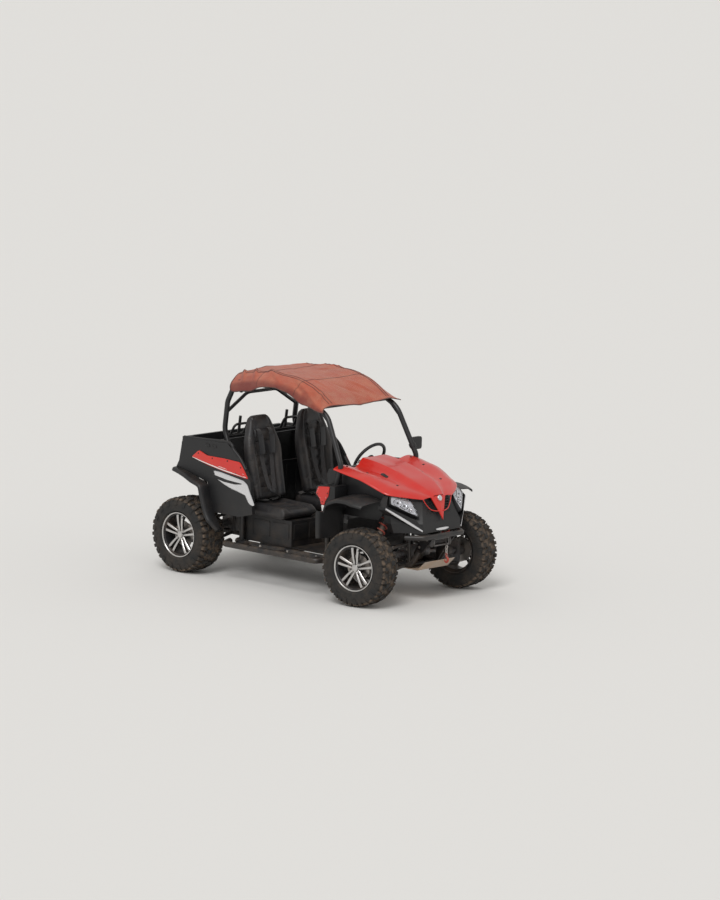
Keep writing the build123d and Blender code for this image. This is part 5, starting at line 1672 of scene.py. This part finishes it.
latch = Form()
latch.add(block((-0.075, gate_y - 0.0005, 1.080), (0.075, gate_y + 0.004, 1.130)))
latch.add(pipe(smooth_path([(-0.055, gate_y + 0.003, 1.098), (-0.052, gate_y + 0.013, 1.100),
                            (0.0, gate_y + 0.015, 1.101), (0.052, gate_y + 0.013, 1.100),
                            (0.055, gate_y + 0.003, 1.098)], 5), 0.0058, 10))
for x in (-0.44, 0.44):
    latch.add(bolt_head(0.007, 0.005), 0, aim((x, gate_y, 1.040), (0, 1, 0)))
make_piece("tailgate_latch", latch, bare_steel, body="tailgate", bevel=0.0015, bevel_from=40)

# %% Frame the tail lamps
for label, side in SIDES.items():
    lamp = Form()
    x0, x1 = 0.526, 0.594
    ring = rounded_outline([(x0, 1.012), (x1, 1.012), (x1, 1.120), (x0, 1.120)], 0.012)
    inside = rounded_outline([(x0 + 0.007, 1.019), (x1 - 0.007, 1.019), (x1 - 0.007, 1.113),
                              (x0 + 0.007, 1.113)], 0.009)
    lamp.add(skin([[(side * x, y, z) for x, z in line]
                   for line, y in ((ring, 1.1604), (ring, 1.1755), (inside, 1.1765), (inside, 1.1742))]))
    make_piece(f"tail_lamp_frame_{label}", lamp, black_plastic, bevel=0.0012, bevel_from=45)

# %% [markdown]
# ## Bolts and step grips
#
# Bolt heads with washers sit along the lower frame and beside the winch. Grip ribs lie on the steps.

# %% Add bolts and step grips
bolts = Form()
for side in (-1, 1):
    for y in (-0.36, -0.02, 0.30):
        bolts.add(bolt_head(0.010, 0.007), 0, aim((side * 0.500, y, 0.3075), (side, 0, 0)))
    for y, z in ((-1.215, 0.405), (-1.215, 0.470), (-1.300, 0.545)):
        bolts.add(bolt_head(0.009, 0.006), 0, aim((side * (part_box("winch")[1].x + 0.0125), y, z), (side, 0, 0)))
make_piece("frame_bolts", bolts, bare_steel)

grips = Form()
for side in (-1, 1):
    for i in range(15):
        y = -0.44 + i * 0.062
        arc = [(side * (0.690 + 0.0268 * sin(a)), y, 0.3195 + 0.0268 * cos(a)) for a in
               [radians(-50 + 100 * k / 10) for k in range(11)]]
        grips.add(pipe(arc, 0.0022, 6))
make_piece("step_grips", grips, black_paint)

# %% [markdown]
# ## Dashboard
#
# The dash is a long moulding with soft edges. A hooded pod with two dials stands in line with the
# steering wheel. Round vents, a row of switches, a glove-box lid and a grab handle fill the rest.

# %% Build the dashboard
DASH_Y = FRONT_Y + 0.420
DASH_LINE = [(0.003, 0.902), (0.0, 1.056), (0.058, 1.080), (0.146, 1.066), (0.170, 1.018), (0.148, 0.907)]
dash = Form().add(slab([(DASH_Y + y, z) for y, z in DASH_LINE], -0.436, 0.436))
dash.add(block((-0.368, DASH_Y - 0.020, 0.870), (0.368, DASH_Y + 0.010, 0.925)))
make_piece("dash_moulding", dash, black_plastic, replaces=["dashboard"], bevel=0.010,
           rounds=3, bevel_from=24, smooth=50)

# %% Build the pod and its dials
wheel_low, wheel_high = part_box("steering_wheel")
wheel_x = ((wheel_low + wheel_high) / 2).x
arch = [(0.108 * cos(pi * i / 16), 0.052 * sin(pi * i / 16)) for i in range(17)]
rings = [[(wheel_x + px * grow, y, base + pz * grow) for px, pz in arch] for y, grow, base in (
    (DASH_Y + 0.050, 0.86, 1.052), (DASH_Y + 0.168, 1.0, 1.040), (DASH_Y + 0.176, 1.0, 1.036),
    (DASH_Y + 0.176, 0.93, 1.038), (DASH_Y + 0.140, 0.90, 1.040))]
make_piece("dash_pod", Form().add(skin(rings)), black_plastic, smooth=44)

dials = Form()
for x in (wheel_x - 0.045, wheel_x + 0.045):
    y, z, r = DASH_Y + 0.146, 1.052, 0.030
    dials.add(lathe([(-0.004, 0.0), (-0.004, r), (0.004, r), (0.005, r * 0.94), (0.0, r * 0.88), (0.0, 0.0)], 32,
                    closed=False), 0, aim((x, y, z), (0, 1, 0.12)))
    dials.add(block((x - 0.0012, y + 0.0004, z), (x + 0.0012, y + 0.0016, z + r * 0.7)), 1)
make_piece("dash_dials", dials, [black_plastic, white_stripe], smooth=40)

# %% Add the vents, switches, lid and handle
dash_out = Vector((0, 0.92, 0.39)).normalized()


def dash_face(x, z):
    """A point on the dash's face that looks at the seats."""
    share = (z - 0.907) / (1.018 - 0.907)
    return Vector((x, DASH_Y + 0.148 + 0.022 * share, z))


vents = Form()
for x in (-0.38, -0.10, 0.10):
    spot = dash_face(x, 0.975)
    vents.add(lathe([(-0.002, 0.0), (-0.002, 0.034), (0.008, 0.034), (0.010, 0.031), (0.004, 0.028),
                     (0.002, 0.0)], 28, closed=False), 0, aim(spot, dash_out))
    for k in (-0.014, 0.0, 0.014):
        vents.add(block((x - 0.026, spot.y + 0.001, 0.975 + k - 0.002),
                        (x + 0.026, spot.y + 0.007, 0.975 + k + 0.002)))
for i in range(5):
    spot = dash_face(-0.055 + 0.027 * i, 0.925)
    vents.add(block((spot.x - 0.010, spot.y - 0.004, 0.914), (spot.x + 0.010, spot.y + 0.006, 0.938)))
lid = dash_face(-0.245, 0.965)
vents.add(block((-0.325, lid.y - 0.012, 0.925), (-0.165, lid.y + 0.002, 1.002)))
make_piece("dash_vents", vents, black_plastic, bevel=0.0014, bevel_from=45)
grab = [dash_face(-0.34, 1.006), dash_face(-0.335, 1.012) + dash_out * 0.036,
        dash_face(-0.245, 1.014) + dash_out * 0.042, dash_face(-0.155, 1.012) + dash_out * 0.036,
        dash_face(-0.15, 1.006)]
make_piece("dash_handle", Form().add(pipe(smooth_path(grab, 6), 0.0085, 12)), black_paint)

# %% [markdown]
# ## Bulkhead
#
# A pressed sheet behind the seats keeps the engine's heat and the sand out of the cabin. Upright
# ribs stiffen it.

# %% Build the bulkhead and the seat box's pressed panels
BOX_FRONT, BOX_SIDE = -0.020, 0.451
sheet = Form().add(block((-0.430, 0.5865, 0.420), (0.430, 0.5895, 0.958)))
for x in (-0.36, -0.24, -0.12, 0.0, 0.12, 0.24, 0.36):
    sheet.add(block((x - 0.014, 0.5815, 0.470), (x + 0.014, 0.5870, 0.920)))
sheet.add(block((-0.430, 0.5820, 0.946), (0.430, 0.6000, 0.960)))
# pressed panels on the seat box, in front and at its sides
for side in (-1, 1):
    for x0, x1 in ((0.060, 0.235), (0.255, 0.425)):
        ring = rounded_outline([(side * x0, 0.395), (side * x1, 0.395), (side * x1, 0.530),
                                (side * x0, 0.530)], 0.016)
        sheet.add(skin([[(x, BOX_FRONT - d, z) for x, z in ring] for d in (-0.001, 0.0045)]))
    for y0, y1 in ((BOX_FRONT + 0.030, BOX_FRONT + 0.230), (BOX_FRONT + 0.255, BOX_FRONT + 0.455)):
        ring = rounded_outline([(y0, 0.395), (y1, 0.395), (y1, 0.530), (y0, 0.530)], 0.016)
        sheet.add(skin([[(side * (BOX_SIDE + d), y, z) for y, z in ring] for d in (-0.001, 0.0045)]))
make_piece("bulkhead", sheet, black_plastic, bevel=0.0022, bevel_from=45)

# %% [markdown]
# ## Steering wheel
#
# The wheel turns with its own body. Its rim is padded with a stitched seam, three flat spokes carry
# ringed eyes, and a boss covers the hub.

# %% Build the steering wheel
WHEEL_TILT = radians(32)
# the wheel stands in line with the middle of the left seat's back
SEAT_X = 0.317
wheel_frame = Matrix.Translation(Vector((SEAT_X, FRONT_Y + 0.790, 1.045))) @ Matrix(
    ((1, 0, 0, 0), (0, -sin(WHEEL_TILT), cos(WHEEL_TILT), 0), (0, cos(WHEEL_TILT), sin(WHEEL_TILT), 0),
     (0, 0, 0, 1)))


def steering_ring():
    form = Form()
    ring = [(0.1635 * cos(a), 0.1635 * sin(a), 0.0) for a in (2 * pi * i / 72 for i in range(72))]
    grip = [0.0138 + 0.0006 * (i % 6 in (2, 3)) * (1 if (i // 9) % 2 else 0) for i in range(72)]
    form.add(pipe(ring, grip, 16, closed=True), 0)
    stitches = [(0.1500 * cos(2 * pi * i / 120), 0.1500 * sin(2 * pi * i / 120), 0.0012 * (1 if i % 2 else -1))
                for i in range(120)]
    form.add(pipe(stitches, 0.0012, 5, closed=True), 0)
    for angle in (0, pi, -pi / 2):
        turn = Matrix.Rotation(angle, 4, "Z")
        outline = [(0.036, 0.026), (0.060, 0.0215), (0.105, 0.016), (0.152, 0.019), (0.152, -0.019),
                   (0.105, -0.016), (0.060, -0.0215), (0.036, -0.026)]
        form.add(skin([[(x, y, z) for x, y in outline] for z in (-0.016, -0.0115)]), 1, turn)
        for x in (0.075, 0.100, 0.124):
            rim = lathe([(0, 0.0075), (0.0013, 0.0085), (0.0018, 0.0070), (-0.002, 0.0062)], 18)
            form.add(rim, 0, turn @ aim((x, 0, -0.0115), (0, 0, 1)))
    hub = lathe([(-0.060, 0.0), (-0.060, 0.030), (-0.020, 0.034), (-0.012, 0.044), (0.000, 0.045), (0.004, 0.041),
                 (0.006, 0.030), (0.007, 0.0)], 40, closed=False)
    form.add(hub, 0, aim((0, 0, 0), (0, 0, 1)))
    for i in range(6):
        a = pi / 6 + i * pi / 3
        form.add(bolt_head(0.0035, 0.003), 1, aim((0.036 * cos(a), 0.036 * sin(a), 0.005), (0, 0, 1)))
    return form


make_piece("steering_ring", steering_ring(), [seat_vinyl, bare_steel], body="steering_wheel",
           replaces=["steering_wheel"], at=wheel_frame, smooth=45)

# %% [markdown]
# ## Seats
#
# Each seat has a cushion with raised edges and a tall back with bolsters and a narrow head. The
# cover is stuffed by a short cloth simulation: the shape is remeshed finely, air pressure swells it
# while its seam lines are held, and no point may move further than a set distance. Both seats share
# one shape.

# %% Shape the seat's back
SEAT_LEAN = radians(12)
BACK_HALF = [(0.0, 0.178), (0.10, 0.190), (0.30, 0.202), (0.42, 0.204), (0.50, 0.188), (0.58, 0.160), (0.66, 0.128),
             (0.70, 0.104), (0.72, 0.078)]


def seat_back_form():
    """Sections up the back in its own frame: x across, y up, z out to the front."""
    rows = []
    for k in range(37):
        up = 0.004 + 0.714 * k / 36
        half = curve_value(BACK_HALF, up)
        bolster = 0.090 - 0.020 * max(0, up - 0.45) / 0.27
        dish = bolster - (0.032 if up < 0.47 else 0.032 * max(0, 1 - (up - 0.47) / 0.08))
        closing = min(1.0, (0.722 - up) / 0.020 + 0.35, up / 0.016 + 0.45)
        behind = [(-1.0, 0.030), (-0.99, 0.012), (-0.90, 0.003), (-0.5, 0.0), (0.0, 0.0), (0.5, 0.0),
                  (0.90, 0.003), (0.99, 0.012), (1.0, 0.030), (1.0, 0.060)]
        before = [(0.97, bolster - 0.010), (0.86, bolster), (0.70, bolster - 0.006), (0.56, dish + 0.004),
                  (0.40, dish), (0.0, dish), (-0.40, dish), (-0.56, dish + 0.004), (-0.70, bolster - 0.006),
                  (-0.86, bolster), (-0.97, bolster - 0.010), (-1.0, 0.060)]
        rows.append([(x * half, up, 0.045 + (z - 0.045) * closing) for x, z in behind + before])
    return Form().add(skin(rows))


# %% Shape the cushion
def seat_cushion_form():
    """Sections from the cushion's back to its front: x across, y forward, z up."""
    rows = []
    for k in range(25):
        y = 0.446 * k / 24 + 0.002
        roll = min(1.0, (0.450 - y) / 0.045 + 0.30, y / 0.020 + 0.55)
        drop = 0.014 * (y / 0.450) ** 3
        row = []
        for x, z in ((-0.198, 0.020), (-0.190, 0.004), (0.0, 0.002), (0.190, 0.004), (0.198, 0.020), (0.202, 0.060),
                     (0.198, 0.100), (0.180, 0.117), (0.150, 0.114), (0.122, 0.098), (0.080, 0.094), (0.0, 0.093),
                     (-0.080, 0.094), (-0.122, 0.098), (-0.150, 0.114), (-0.180, 0.117), (-0.198, 0.100),
                     (-0.202, 0.060)):
            row.append((x, y, 0.058 + (z - 0.058) * roll - drop * (z > 0.05)))
        rows.append(row)
    return Form().add(skin(rows))


# %% Stuff a cover
SEAMS_BACK = {"x": [0.105, -0.105], "y": [0.10, 0.19, 0.28, 0.37, 0.49, 0.60]}
SEAMS_CUSHION = {"x": [0.112, -0.112], "y": [0.11, 0.20, 0.29, 0.38]}
STUFFING_FRAMES = 20


def stuff(piece, seams, front_level, cap=0.009):
    """Swells a closed shape like a filled cover, held along its seam lines."""
    remesh = piece.modifiers.new("remesh", "REMESH")
    remesh.mode = "VOXEL"
    remesh.voxel_size = 0.006
    settle(piece)
    before = [vertex.co.copy() for vertex in piece.data.vertices]
    held = piece.vertex_groups.new(name="sewn")
    for vertex in piece.data.vertices:
        x, y, z = vertex.co
        on_seam = z > front_level and (any(abs(x - s) < 0.005 for s in seams["x"])
                                       or (abs(x) < 0.105 and any(abs(y - s) < 0.005 for s in seams["y"])))
        if on_seam or z < 0.010:
            held.add([vertex.index], 1.0, "REPLACE")
            if on_seam:
                vertex.co.z -= 0.0045
    cloth = piece.modifiers.new("stuffing", "CLOTH")
    cloth.settings.quality = 4
    cloth.settings.mass = 0.25
    cloth.settings.tension_stiffness = 14
    cloth.settings.compression_stiffness = 14
    cloth.settings.bending_stiffness = 0.4
    cloth.settings.use_pressure = True
    cloth.settings.uniform_pressure_force = 4.0
    cloth.settings.effector_weights.gravity = 0.0
    cloth.settings.vertex_group_mass = "sewn"
    cloth.point_cache.frame_start = 1
    cloth.point_cache.frame_end = STUFFING_FRAMES
    for step in range(1, STUFFING_FRAMES + 1):
        scene.frame_set(step)
    settle(piece)
    furthest = 0.0
    for vertex, start in zip(piece.data.vertices, before):
        move = vertex.co - start
        furthest = max(furthest, move.length)
        if move.length > cap:
            vertex.co = start + move * (cap / move.length)
    scene.frame_set(1)
    fine = piece.modifiers.new("fine", "SUBSURF")
    fine.levels = fine.render_levels = 1
    settle(piece)
    piece.data.shade_smooth()
    print(piece.name, "swelled by up to", round(furthest, 4), "m, faces", len(piece.data.polygons))


# %% Place the seats and draw their seams
CUSHION_X = 0.302


def back_place(side):
    up = Vector((0, sin(SEAT_LEAN), cos(SEAT_LEAN)))
    out = Vector((0, -cos(SEAT_LEAN), sin(SEAT_LEAN)))
    across = up.cross(out)
    turn = Matrix((across, up, out)).transposed().to_4x4()
    return Matrix.Translation(Vector((side * SEAT_X, HOOP_Y - 0.345, 0.690))) @ turn


def cushion_place(side):
    turn = Matrix(((-1, 0, 0), (0, -1, 0), (0, 0, 1))).to_4x4()
    return Matrix.Translation(Vector((side * CUSHION_X, HOOP_Y - 0.3015, 0.5608))) @ turn


def seam_lines(points_of, seams, long_ends):
    """Piping along the bolsters and thin seams across the middle, laid on the surface."""
    form = Form()
    low, high = long_ends
    for s in seams["x"]:
        line = [points_of(s, low + (high - low) * i / 40) for i in range(41)]
        form.add(pipe(line, 0.0026, 6))
    for s in seams["y"]:
        line = [points_of(-0.100 + 0.200 * i / 20, s) for i in range(21)]
        form.add(pipe(line, 0.0012, 5))
    return form


def drop_onto(piece):
    """Gives the height of the piece's surface under a point, by a ray from above."""
    def height(x, y):
        hit, spot, _, _ = piece.ray_cast(Vector((x, y, 0.4)), Vector((0, 0, -1)))
        return Vector((x, y, (spot.z if hit else 0.05) + 0.0004))
    return height


# %% Make both seats
for kind, make, seams, place, level, ends, node in (
        ("seat_back", seat_back_form, SEAMS_BACK, back_place, 0.045, (0.03, 0.62), "seat_backs"),
        ("seat_cushion", seat_cushion_form, SEAMS_CUSHION, cushion_place, 0.070, (0.02, 0.430), "seat_cushions")):
    shape = make_piece(f"{kind}_left", make(), seat_vinyl, replaces=[node], smooth=60)
    stuff(shape, seams, level)
    bpy.context.view_layer.update()
    lines = seam_lines(drop_onto(shape), seams, ends)
    for label, side in SIDES.items():
        cover = shape
        if side < 0:
            cover = bpy.data.objects.new(f"{kind}_right", shape.data)
            scene.collection.objects.link(cover)
        cover.matrix_world = place(side)
        if side < 0:
            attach(cover, "chassis")
        make_piece(f"{kind}_seams_{label}", lines, seat_vinyl, at=place(side), smooth=60)

# %% [markdown]
# ## Belts
#
# Two padded shoulder straps come over each back from the bar behind it and run down to a round
# buckle, where the lap straps meet.

# %% Lay the belts
def ribbon_along(path, width, across, thick=0.0016):
    """A strap along a path, its width laid along the given direction."""
    rings = []
    for i, point in enumerate(path):
        along = heading(path, i)
        side = (across - along * across.dot(along)).normalized()
        up = along.cross(side).normalized()
        rings.append([point + side * s * width / 2 + up * t * thick for s, t in ((-1, 0), (1, 0), (1, 1), (-1, 1))])
    return skin(rings)


belts, buckles = Form(), Form()
for side in (1, -1):
    place = back_place(side)
    cushion = cushion_place(side)
    for s in (-1, 1):
        path = [(s * 0.070, 0.560, -0.014), (s * 0.070, 0.600, 0.030), (s * 0.070, 0.585, 0.096),
                (s * 0.068, 0.480, 0.094), (s * 0.060, 0.350, 0.080), (s * 0.045, 0.200, 0.082),
                (s * 0.026, 0.075, 0.094)]
        belts.add(ribbon_along([place @ p for p in smooth_path(path, 6)], 0.046, Vector((1, 0, 0))))
        lap = [(s * 0.190, 0.040, 0.122), (s * 0.150, 0.052, 0.134), (s * 0.080, 0.072, 0.126),
               (s * 0.020, 0.078, 0.122)]
        belts.add(ribbon_along([cushion @ p for p in smooth_path(lap, 6)], 0.044, Vector((0, 1, 0.2))))
        pad = [(s * 0.069, 0.540, 0.104), (s * 0.067, 0.470, 0.102), (s * 0.061, 0.380, 0.092)]
        buckles.add(ribbon_along([place @ p for p in smooth_path(pad, 5)], 0.062, Vector((1, 0, 0)), 0.007))
    buckles.add(lathe([(0.0, 0.0), (0.0, 0.030), (0.010, 0.030), (0.014, 0.024), (0.015, 0.0)], 28,
                      closed=False), 0,
                aim(place @ Vector((0, 0.060, 0.094)), place.to_3x3() @ Vector((0, 0.3, 1))))
make_piece("seat_belts", belts, webbing)
make_piece("belt_pads", buckles, seat_vinyl, bevel=0.0015, bevel_from=45)

# %% [markdown]
# ## Springs and dampers
#
# Each spring unit is a damper tube with a shaft, a collar at each end and a wire coil round it. The
# coil is one pipe along a helix that closes up flat at both ends.

# %% Build the four spring units
# end, y, foot (x, z), top (x, z)
SHOCK_ENDS = [("front", FRONT_Y, (0.472, 0.4373), (0.230, 0.870)),
              ("rear", REAR_Y, (0.433, 0.4373), (0.300, 0.8847))]


def shock_form(length):
    """A unit along +X from its foot to its top."""
    form = Form()
    form.add(lathe([(0.0, 0.0), (0.0, 0.011), (0.044, 0.011), (0.046, 0.020), (0.046, 0.0405), (0.056, 0.0405),
                    (0.058, 0.024), (0.070, 0.0125), (0.150, 0.0125), (0.152, 0.0235), (length - 0.076, 0.0235),
                    (length - 0.074, 0.041), (length - 0.064, 0.041), (length - 0.060, 0.0235),
                    (length - 0.022, 0.0235), (length - 0.018, 0.012), (length, 0.0115), (length, 0.0)], 32,
                   closed=False), 0)
    turns, start, end = 7.5, 0.058, length - 0.080
    # the share of the wire that lies flat at each end
    flat = 0.06
    path = []
    steps = int(turns * 20)
    for i in range(steps + 1):
        t = i / steps
        along = start + (end - start) * (0 if t < flat else 1 if t > 1 - flat else (t - flat) / (1 - 2 * flat))
        angle = 2 * pi * turns * t
        path.append((along, 0.0355 * sin(angle), 0.0355 * cos(angle)))
    form.add(pipe(path, 0.0066, 8), 1)
    for x in (0.006, length - 0.006):
        form.add(lathe([(-0.016, 0.0), (-0.016, 0.0075), (0.016, 0.0075), (0.016, 0.0)], 20, closed=False), 0,
                 Matrix.Translation(Vector((x, 0, 0))) @ Matrix.Rotation(pi / 2, 4, "Z"))
    return form


for label, side in SIDES.items():
    for end, y, (foot_x, foot_z), (top_x, top_z) in SHOCK_ENDS:
        foot, top = Vector((side * foot_x, y, foot_z)), Vector((side * top_x, y, top_z))
        along = (top - foot).normalized()
        foot, top = foot + along * 0.0105, top - along * 0.0145
        make_piece(f"{end}_shock_{label}", shock_form((top - foot).length), [dark_cast, spring_paint],
                   replaces=["shocks"], at=aim(foot, along), smooth=44)

# %% [markdown]
# ## Winch
#
# The drum carries a coil of rope between two cast ends. A roller guide stands before it, and the rope's
# end carries a few links of chain and a hook.

# %% Build the winch
DRUM_AHEAD = 0.306
DRUM = Vector((0.0, FRONT_Y - DRUM_AHEAD, 0.520))
ROPE_TURNS, TURN_STEPS = 17, 24
winch_form = Form()
for side in (-1, 1):
    ring = rounded_outline([(DRUM.y - 0.040, 0.481), (DRUM.y + 0.030, 0.481), (DRUM.y + 0.030, 0.559),
                            (DRUM.y - 0.040, 0.559)], 0.016)
    rings = []
    for x, grow in ((0.097, 0.96), (0.100, 1.0), (0.118, 1.0), (0.121, 0.94), (0.126, 0.92), (0.1340, 0.60)):
        rings.append([(side * x, DRUM.y - 0.005 + (y - DRUM.y + 0.005) * grow, 0.520 + (z - 0.520) * grow)
                      for y, z in ring])
    winch_form.add(skin(rings), 0)
winch_form.add(lathe([(-0.098, 0.0), (-0.098, 0.035), (-0.094, 0.035), (-0.092, 0.022), (0.092, 0.022),
                      (0.094, 0.035), (0.098, 0.035), (0.098, 0.0)], 32, closed=False), 0, Matrix.Translation(DRUM))
rope = []
for i in range(ROPE_TURNS * TURN_STEPS):
    a = 2 * pi * i / TURN_STEPS
    # six turns lie low, the next six a little higher, and so on
    layer = 0.0255 + 0.0035 * (i // (TURN_STEPS * 6) % 2)
    rope.append(DRUM + Vector((-0.086 + 0.172 * i / (ROPE_TURNS * TURN_STEPS), layer * sin(a), layer * cos(a))))
winch_form.add(pipe(rope, 0.0046, 6), 1)
guide_y = DRUM.y - 0.0415
for z in (0.4935, 0.5465):
    winch_form.add(lathe([(-0.090, 0.0), (-0.090, 0.0055), (0.090, 0.0055), (0.090, 0.0)], 18, closed=False), 2,
                   Matrix.Translation(Vector((0, guide_y, z))))
for x in (-0.088, 0.088):
    winch_form.add(lathe([(-0.029, 0.0), (-0.029, 0.0052), (0.029, 0.0052), (0.029, 0.0)], 18, closed=False), 2,
                   aim((x, guide_y + 0.004, 0.520), (0, 0, 1)))
winch_form.add(block((-0.100, DRUM.y - 0.044, 0.4845), (0.100, DRUM.y + 0.008, 0.4915)), 0)
make_piece("winch_body", winch_form, [dark_cast, webbing, cast_metal], replaces=["winch"],
           bevel=0.0016, bevel_from=50, smooth=40)

# %% Hang the rope's end, the chain and the hook
hook_form = Form()
hook_y = FRONT_Y - DRUM_AHEAD - 0.062
hook_form.add(pipe(smooth_path([(0.020, DRUM.y - 0.030, 0.520), (0.034, DRUM.y - 0.046, 0.518),
                                (0.040, hook_y + 0.006, 0.508), (0.040, hook_y, 0.494), (0.040, hook_y, 0.480)], 6),
                   0.0055, 8), 1)
for i in range(3):
    z = 0.470 - i * 0.030
    link = []
    for k in range(20):
        a = 2 * pi * k / 20
        across, up = 0.0095 * cos(a), 0.019 * sin(a)
        link.append((0.040 + (across if i % 2 else 0), hook_y + (0 if i % 2 else across), z + up))
    hook_form.add(pipe(link, 0.0040, 8, closed=True), 0)
curve = [(0.040, hook_y, 0.402), (0.040, hook_y, 0.385)]
for k in range(9):
    a = radians(75 - 32 * k)
    curve.append((0.040, hook_y - 0.023 * cos(a) * 0.85, 0.363 + 0.023 * sin(a)))
radii = [0.0062, 0.0075, 0.0092, 0.0102, 0.0105, 0.0102, 0.0098, 0.0088, 0.0076, 0.0060, 0.0036]
hook_form.add(pipe(curve, radii, 12), 2)
hook_form.add(pipe([(0.040, hook_y + 0.010 * cos(2 * pi * k / 18), 0.407 + 0.010 * sin(2 * pi * k / 18))
                    for k in range(18)], 0.0042, 8, closed=True), 2)
make_piece("winch_hook", hook_form, [bare_steel, webbing, spring_paint], smooth=50)

# %% [markdown]
# ## Mirror, exhaust and drive details
#
# Small parts complete the metal: a glass in the mirror's frame, bands and an outlet on the silencer,
# ribs and bolts on the drive cases and bellows on the shafts.

# %% Add the mirror's glass and the exhaust's bands
mirror_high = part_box("mirror")[1]
glass_x = mirror_high.x - 0.060
ring = rounded_outline([(glass_x - 0.052, mirror_high.z - 0.100), (glass_x + 0.052, mirror_high.z - 0.100),
                        (glass_x + 0.052, mirror_high.z - 0.008), (glass_x - 0.052, mirror_high.z - 0.008)], 0.016)
glass = Form().add(skin([[(x, mirror_high.y + dy, z) for x, z in ring] for dy in (-0.001, 0.0012)]))
make_piece("mirror_glass", glass, chrome, bevel=0.0006)

silencer_y, silencer_z = REAR_Y + 0.190, 0.690
bands = Form()
for x in (-0.165, -0.020, 0.125):
    bands.add(lathe([(x - 0.008, 0.0690), (x - 0.008, 0.0725), (x - 0.006, 0.0738), (x + 0.006, 0.0738),
                     (x + 0.008, 0.0725), (x + 0.008, 0.0690)], 48), 0,
              Matrix.Translation(Vector((0, silencer_y, silencer_z))))
for x, out in ((-0.210, -1), (0.170, 1)):
    bands.add(lathe([(0, 0.066), (0.0, 0.0705), (0.003, 0.0700), (0.005, 0.062), (0.006, 0.030), (0.0065, 0.0)], 48,
                    closed=False), 0, aim((x - out * 0.002, silencer_y, silencer_z), (out, 0, 0)))
tip = aim((0.100, silencer_y + 0.094, silencer_z - 0.0295), (0, 0.954, -0.301))
bands.add(lathe([(-0.020, 0.0225), (-0.020, 0.0245), (0.004, 0.0250), (0.006, 0.0235), (0.004, 0.0205),
                 (-0.018, 0.0200)], 32), 0, tip)
bands.add(lathe([(-0.016, 0.0202), (-0.016, 0.0)], 32, closed=False), 1, tip)
make_piece("exhaust_bands", bands, [bare_steel, black_plastic], smooth=40)

# %% Add the drive's ribs, bellows and bolts
DRIVE_Z = axle_z + 0.045
drive = Form()
for y, x_in, x_out in ((FRONT_Y, 0.150, 0.185), (REAR_Y, 0.170, 0.205)):
    for side in (-1, 1):
        profile = []
        for i in range(11):
            profile.append((x_in + (x_out + 0.03 - x_in) * i / 10,
                            0.030 + (0.006 if i % 2 else -0.001) - 0.0012 * i))
        profile = [(profile[0][0], 0.0)] + profile + [(profile[-1][0], 0.0)]
        drive.add(lathe([(side * x, r) for x, r in profile], 28, closed=False), 0,
                  Matrix.Translation(Vector((0, y, DRIVE_Z))))
for i in range(8):
    a = 2 * pi * i / 8
    for side in (-1, 1):
        spot = (side * 0.095, FRONT_Y + 0.060 * cos(a), DRIVE_Z + 0.060 * sin(a))
        drive.add(bolt_head(0.007, 0.006), 1, aim(spot, (side, 0, 0)))
for x in (-0.10, -0.05, 0.0, 0.05, 0.10):
    drive.add(block((x - 0.003, REAR_Y - 0.100, DRIVE_Z - 0.070), (x + 0.003, REAR_Y + 0.075, DRIVE_Z + 0.0785)), 2)
make_piece("drive_details", drive, [black_plastic, bare_steel, cast_metal], smooth=34)
